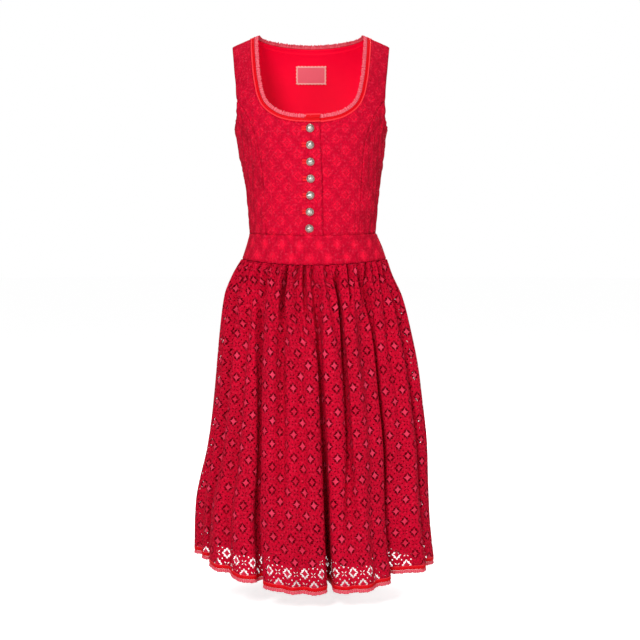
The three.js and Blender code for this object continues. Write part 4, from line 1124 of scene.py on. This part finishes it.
# Where each fold stands at the band and at the hem, in degrees, then its depth at the band, half-way and at
# the hem, and its half width in degrees
folds = [
    (-38, -26.5, 20, 34, 46, 5), (3.5, 9.5, 18, 44, 92, 3.8), (18.5, 20, 36, 30, 8, 3.2),
    (40, 45, 22, 50, 86, 5.8), (66, 72, 14, 26, 38, 4.6), (104, 107, 14, 36, 58, 5),
    (138, 140, 16, 42, 68, 5), (172, 175, 16, 46, 76, 5), (207, 211, 16, 42, 68, 5),
    (243, 245, 14, 36, 56, 5), (-62, -64, 14, 20, 28, 4.4), (-20.5, -14, 28, 15, 8, 3.2),
    (-47, -46, 20, 14, 13, 3.6), (-7, -3, 12, 11, 12, 3.6), (30, 33, 12, 13, 15, 3.6),
    (53, 58, 12, 12, 14, 4), (-76, -77, 8, 10, 14, 4.2), (86, 89, 8, 10, 14, 4.2),
    (121, 124, 8, 12, 16, 4.4), (156, 158, 8, 12, 16, 4.4), (190, 193, 8, 12, 16, 4.4),
    (226, 228, 8, 12, 16, 4.4), (260, 262, 8, 10, 14, 4.2), (45, 51, 4, 12, 22, 6.5),
]


def skirtRow(share):
    return {key: float(readTable(skirt["drop"], skirt[key], share * skirt["length"]))
            for key in ("left", "right", "front", "back", "gather")}


# For each fold, the turn from its middle in degrees, its depth and its half width
def foldsAt(angle, share):
    for top, hem, high, middle, low, wide in folds:
        turn = (angle / rad - mix(top, hem, share) + 540) % 360 - 180
        yield turn, mix(mix(high, middle, smooth(0, 0.5, share)), low, smooth(0.5, 1, share)), wide


def foldDepth(angle, share, spread):
    settle = smooth(0, 0.08, share)
    return sum(deep * settle * bump(turn, 0, wide * spread) for turn, deep, wide in foldsAt(angle, share))


# The crests on both sides of a deep fold lean over it, so that its mouth is narrow
def foldLean(angle, share):
    lean = sum(np.sign(turn) * wide * 0.72 * smooth(14, 36, deep) * bump(np.abs(turn) / wide, 1.15, 0.42)
               for turn, deep, wide in foldsAt(angle, share))
    return -lean * rad * smooth(0.01, 0.1, share)


def hemAt(angle):
    return skirt["hem"] - dipAt(angle, skirt["hemFront"], skirt["hemBack"]) - skirt["hemTilt"] * np.sin(angle)


def ringRun(half, share):
    sample = np.linspace(*halves[half], 721) * rad
    ring = ringPoint(skirtRow(share), sample, -foldDepth(sample, share, 1))
    return np.concatenate([[0], np.cumsum(np.linalg.norm(np.diff(ring, axis=0), axis=1))])


def threadAngle(half, thread, share):
    run = ringRun(half, share)
    byLength = np.interp(thread * run[-1], run, np.linspace(0, 1, 721))
    crowd = 0.011 * np.sin(19 * thread + 1) + 0.007 * np.sin(43 * thread)
    turned = mix(thread + crowd * np.sin(math.pi * thread), byLength, smooth(0, 0.3, share))
    start, end = halves[half]
    inset = seamGap / 300 / rad
    return mix(start + inset, end - inset, turned) * rad


# Long soft ridges between the deep folds, and small pleats just under the waistband
def softRidges(thread, share, side):
    long = 2.0 * np.sin(2 * math.pi * (9.3 * thread + 0.35 * np.sin(3.1 * share + side)) + side)
    long += 1.3 * np.sin(2 * math.pi * (16.7 * thread - 0.5 * share) + 2.2 * side + 1)
    short = 1.6 * np.sin(2 * math.pi * 51 * thread + 3 * np.sin(9 * thread)) * (1 - smooth(0.02, 0.2, share))
    slack = 0.8 * np.sin(2 * math.pi * (31 * thread + 1.5 * share)) * np.sin(11 * share + 17 * thread)
    edge = smooth(0, 0.02, thread) * (1 - smooth(0.98, 1, thread))
    return (long * smooth(0.05, 0.4, share) + short + slack * smooth(0.1, 0.3, share)) * edge


def skirtLine(half, thread, share, out=0.0):
    side = 0.0 if half == "front" else 1.7
    angle = threadAngle(half, thread, share)
    row = skirtRow(share)
    crowd = 0.007 * np.sin(41 * thread + side) + 0.004 * np.sin(97 * thread)
    uneven = thread + crowd * np.sin(math.pi * thread)
    wave = (0.5 - 0.5 * np.cos(2 * math.pi * skirt["gathers"] * uneven)) ** 1.7
    reach = 1.15 + 0.5 * np.sin(53 * thread + 1 + side)
    gather = readTable(skirt["drop"], skirt["gather"], share * skirt["length"] / reach)
    gather = gather * (0.78 + 0.22 * np.sin(67 * thread + 2)) * wave
    depth = foldDepth(angle, share, 1)
    lift = softRidges(thread, share, side) * (0.4 if share < 0.01 else 1) + out
    point = ringPoint(row, angle + foldLean(angle, share), -depth - gather + lift)
    point[:, 2] = mix(bandBottom(angle) - seamGap, hemAt(angle) + skirt["hemLift"] * depth, share)
    return point


# Moves a line of points square to itself in plan, inwards for a positive distance
def squareInwards(points, distance):
    run = np.gradient(points[:, :2], axis=0)
    size = np.linalg.norm(run, axis=1, keepdims=True)
    moved = points.copy()
    moved[:, :2] += np.stack([-run[:, 1], run[:, 0]], axis=1) / size * np.asarray(distance).reshape(-1, 1)
    return moved


# The lace keeps its size over every crest, and the cloth that a row lacks is hidden at the bottom of the
# deep folds
def layOut(half, points, shares, thread, width):
    start, end = halves[half]
    deep = sorted(f for f in folds if f[4] >= skirt["hidesCloth"] and start < f[0] < end)
    run = runLength(points, 1)
    u = np.empty_like(run)
    level = skirt["laidAt"]
    angles = threadAngle(half, thread, level) / rad
    cuts = [0.0] + [float(np.interp(mix(f[0], f[1], level), angles, thread)) for f in deep] + [1.0]
    anchors = [(a + b) / 2 for a, b in zip(cuts, cuts[1:])]
    for i, share in enumerate(shares):
        angles = threadAngle(half, thread, float(share)) / rad
        valleys = [np.interp(mix(f[0], f[1], float(share)), angles, thread) for f in deep]
        crest = np.searchsorted(valleys, thread)
        at = np.array(anchors)[crest]
        u[i] = at * width + run[i] - np.interp(at, thread, run[i])
    return u


skirtPieces = {}
hemRun = {}
for half in halves:
    thread = np.linspace(0, 1, skirt["columns"] + 1)
    shares = np.linspace(0, 1, skirt["rows"] + 1) ** 1.15
    points = np.stack([skirtLine(half, thread, float(share)) for share in shares])
    width = float(ringRun(half, 1.0)[-1])
    hemRun[half] = width
    cell = width / skirt["cells"]
    u = layOut(half, points, shares, thread, width)
    v = (1 - shares)[:, None] * skirt["length"] * np.ones_like(u)
    look = skirtLaceMaterial(f"skirtLace{half.title()}", cell, (cell / 2, 24))
    obj = clothPiece(f"skirtLace{half.title()}", f"skirt_lace_{half}", points,
                     np.stack([u, v], axis=-1), [look], skirt["wall"])
    skirtPieces[half] = (obj, points)
print("lace skirt done")


# Skirt lining

skirtLining = {"ease": 6.0, "spread": 1.45, "depth": 1.06, "aboveHem": 32, "laceWall": 1.6, "wall": 0.8}


def liningLine(half, thread, share):
    angle = threadAngle(half, thread, share)
    row = skirtRow(share)
    depth = foldDepth(angle, share, skirtLining["spread"]) * skirtLining["depth"]
    ripple = 0.8 * np.sin(2 * math.pi * 13 * thread + 2 * share)
    behind = row["gather"] + skirtLining["laceWall"] + skirtLining["ease"]
    point = ringPoint(row, angle, ripple - depth - behind)
    point[:, 2] = mix(bandBottom(angle) - seamGap, hemAt(angle) + skirt["hemLift"] * depth, share)
    return point


skirtLinings = {}
for half in halves:
    thread = np.linspace(0, 1, 221)
    lowest = 1 - skirtLining["aboveHem"] / skirt["length"]
    shares = np.linspace(0.02, lowest, 42)
    tucked = bandPoint(threadAngle(half, thread, 0), np.full_like(thread, 0.7), -(2.6 + 2 * seamGap))
    points = np.stack([tucked] + [liningLine(half, thread, float(share)) for share in shares])
    cloth = np.stack([runLength(points, 1), np.cumsum(np.full(points.shape[:2], 10.0), axis=0)], axis=-1)
    obj = clothPiece(f"skirtLining{half.title()}", f"skirt_lining_{half}", points, cloth,
                     [skirtLiningShadedLook], skirtLining["wall"])
    skirtLinings[half] = (obj, points)
print("skirt lining done")


# Hem tape and frill

hem = {"tapeHeight": 8.2, "tapeTop": -0.8, "tapeWall": 1.4, "frillTop": 7.8, "frillHeight": 6.5,
       "frillWall": 0.7, "flute": 4.2}
hemTrims = {}
for half in halves:
    thread = np.linspace(0, 1, 951)
    line = skirtLine(half, thread, 1.0)
    rows = []
    for share in np.linspace(0, 1, 9):
        out = 1.1 * bump(share, 0.14, 0.12) + 0.9 * smooth(0.3, 0.5, share) * (1 - smooth(0.92, 1.05, share))
        row = squareInwards(line, 0.8 - out)
        row[:, 2] -= hem["tapeTop"] + hem["tapeHeight"] * share
        rows.append(row)
    points = np.stack(rows)
    along = runLength(line[None], 1)[0]
    u, v = np.meshgrid(along, np.linspace(0, hem["tapeHeight"], 9))
    tape = clothPiece(f"hemTape{half.title()}", f"hem_cord_{half}", points,
                      np.stack([u, v], axis=-1), [hemTapeLook], hem["tapeWall"])
    thread = np.linspace(0, 1, 2301)
    line = skirtLine(half, thread, 1.0)
    along = runLength(line[None], 1)[0]
    turn = along / hem["flute"] * 2 * math.pi
    wave = np.sin(turn + 0.8 * np.sin(along * 0.07) + 0.5 * np.sin(along * 0.23))
    reach = hem["frillHeight"] + 0.7 * np.sin(along * 0.6) * np.sin(along * 0.171)
    rows = []
    for share in np.linspace(0, 1, 6):
        row = squareInwards(line, 0.9 + 1.0 * wave * (0.25 + 0.75 * share) - 0.4 * share)
        row[:, 2] -= hem["frillTop"] + reach * share
        rows.append(row)
    points = np.stack(rows)
    u, v = np.meshgrid(along, np.linspace(0, hem["frillHeight"], 6))
    frill = clothPiece(f"hemFrill{half.title()}", f"hem_frill_{half}", points,
                       np.stack([u, v], axis=-1), [frillLook], hem["frillWall"])
    # The flute phase, for the frill's painted shade and highlight along its flutes
    giveValues(frill, "flute", (0.5 + 0.5 * wave) * np.ones_like(u))
    inner = squareInwards(line, -0.45)
    outer = squareInwards(line, -1.45)
    for row in (inner, outer):
        row[:, 2] -= hem["tapeTop"] + hem["tapeHeight"] * 0.33
    sewn = stitchRows(f"hemStitches{half.title()}", [(inner, outer)], 3.4, 0.7, threadLook)
    hemTrims[half] = [tape, frill, sewn]
print("hem done")


# The sheets, as they were cut

declareSheet(frontRight[0], frontRight[1], "stretched", ["sideFrontRight", "backCentre"], frontRightTrims)
declareSheet(frontLeft[0], frontLeft[1], "stretched", ["sideFrontLeft", "backCentre"], frontLeftTrims)
for obj, points in sidePanels:
    declareSheet(obj, points, "stretched", ["backCentre"])
declareSheet(backCentre[0], backCentre[1], "stretched", ["frontRight", "frontLeft"], backTrims)
declareSheet(backLining, liningPoints, "laid", ["backCentre"])
declareSheet(neckLabel, labelPoints, "laid", ["backLining"], [labelStitches])
for name in halves:
    declareSheet(*bandPieces[name], "stretched", ["frontRight", "backCentre"], [bandStitches[name]])
    declareSheet(*skirtPieces[name], "gathered", [f"waistband{name.title()}"], hemTrims[name],
                 cut=(round(hemRun[name] * mm, 3), 0.6))
    declareSheet(*skirtLinings[name], "hung", [f"waistband{name.title()}"])


# Studio

studio = {"floorZ": -1.105, "floorRadius": 30.0, "eye": (0.018, -3.2, -0.4), "target": (0.018, 0, -0.554),
          "lens": 90.1, "sensor": 36}


def seenByCamera(tree):
    return Field(tree, put(tree, "ShaderNodeLightPath").outputs["Is Camera Ray"])


bm = bmesh.new()
bmesh.ops.create_circle(bm, cap_ends=True, segments=64, radius=studio["floorRadius"])
bmesh.ops.translate(bm, verts=bm.verts, vec=(0, 0, studio["floorZ"]))
floorMesh = bpy.data.meshes.new("floor")
bm.to_mesh(floorMesh)
bm.free()
floor = bpy.data.objects.new("floor", floorMesh)
bpy.context.collection.objects.link(floor)
paper = bpy.data.materials.new("palePaper")
paper.use_nodes = True
shader = paper.node_tree.nodes["Principled BSDF"]
shader.inputs["Base Color"].default_value = (0.9, 0.9, 0.9, 1)
shader.inputs["Roughness"].default_value = 0.9
shader.inputs["Emission Color"].default_value = (1, 1, 1, 1)
fill(paper.node_tree, shader.inputs["Emission Strength"], seenByCamera(paper.node_tree) * 0.72)
floorMesh.materials.append(paper)

world = bpy.data.worlds.new("studioAir")
world.use_nodes = True
bpy.context.scene.world = world
background = world.node_tree.nodes["Background"]
background.inputs["Color"].default_value = (1, 1, 1, 1)
fill(world.node_tree, background.inputs["Strength"], seenByCamera(world.node_tree) * 0.7 + 0.3)


def softLight(name, at, aim, size, power):
    data = bpy.data.lights.new(name, "AREA")
    data.shape = "RECTANGLE"
    data.size, data.size_y = size
    data.energy = power
    lamp = bpy.data.objects.new(name, data)
    lamp.location = at
    lamp.rotation_euler = (Vector(aim) - Vector(at)).to_track_quat("-Z", "Y").to_euler()
    bpy.context.collection.objects.link(lamp)


softLight("key", (-0.9, -3.2, 0.9), (0, 0, -0.4), (0.8, 1.1), 80)
softLight("fill", (1.9, -2.7, 0.2), (0, 0, -0.4), (1.0, 1.6), 20)
softLight("top", (0.0, 0.2, 2.0), (0, 0, -0.3), (1.4, 1.2), 22)
softLight("behind", (0.6, 3.0, 0.6), (0, 0, -0.6), (1.2, 1.6), 40)

camera = bpy.data.cameras.new("camera")
camera.lens = studio["lens"]
camera.sensor_width = studio["sensor"]
camera.clip_end = 100
eye = bpy.data.objects.new("camera", camera)
eye.location = studio["eye"]
eye.rotation_euler = (Vector(studio["target"]) - Vector(studio["eye"])).to_track_quat("-Z", "Y").to_euler()
bpy.context.collection.objects.link(eye)
bpy.context.scene.camera = eye
bpy.context.scene.view_settings.view_transform = "Standard"
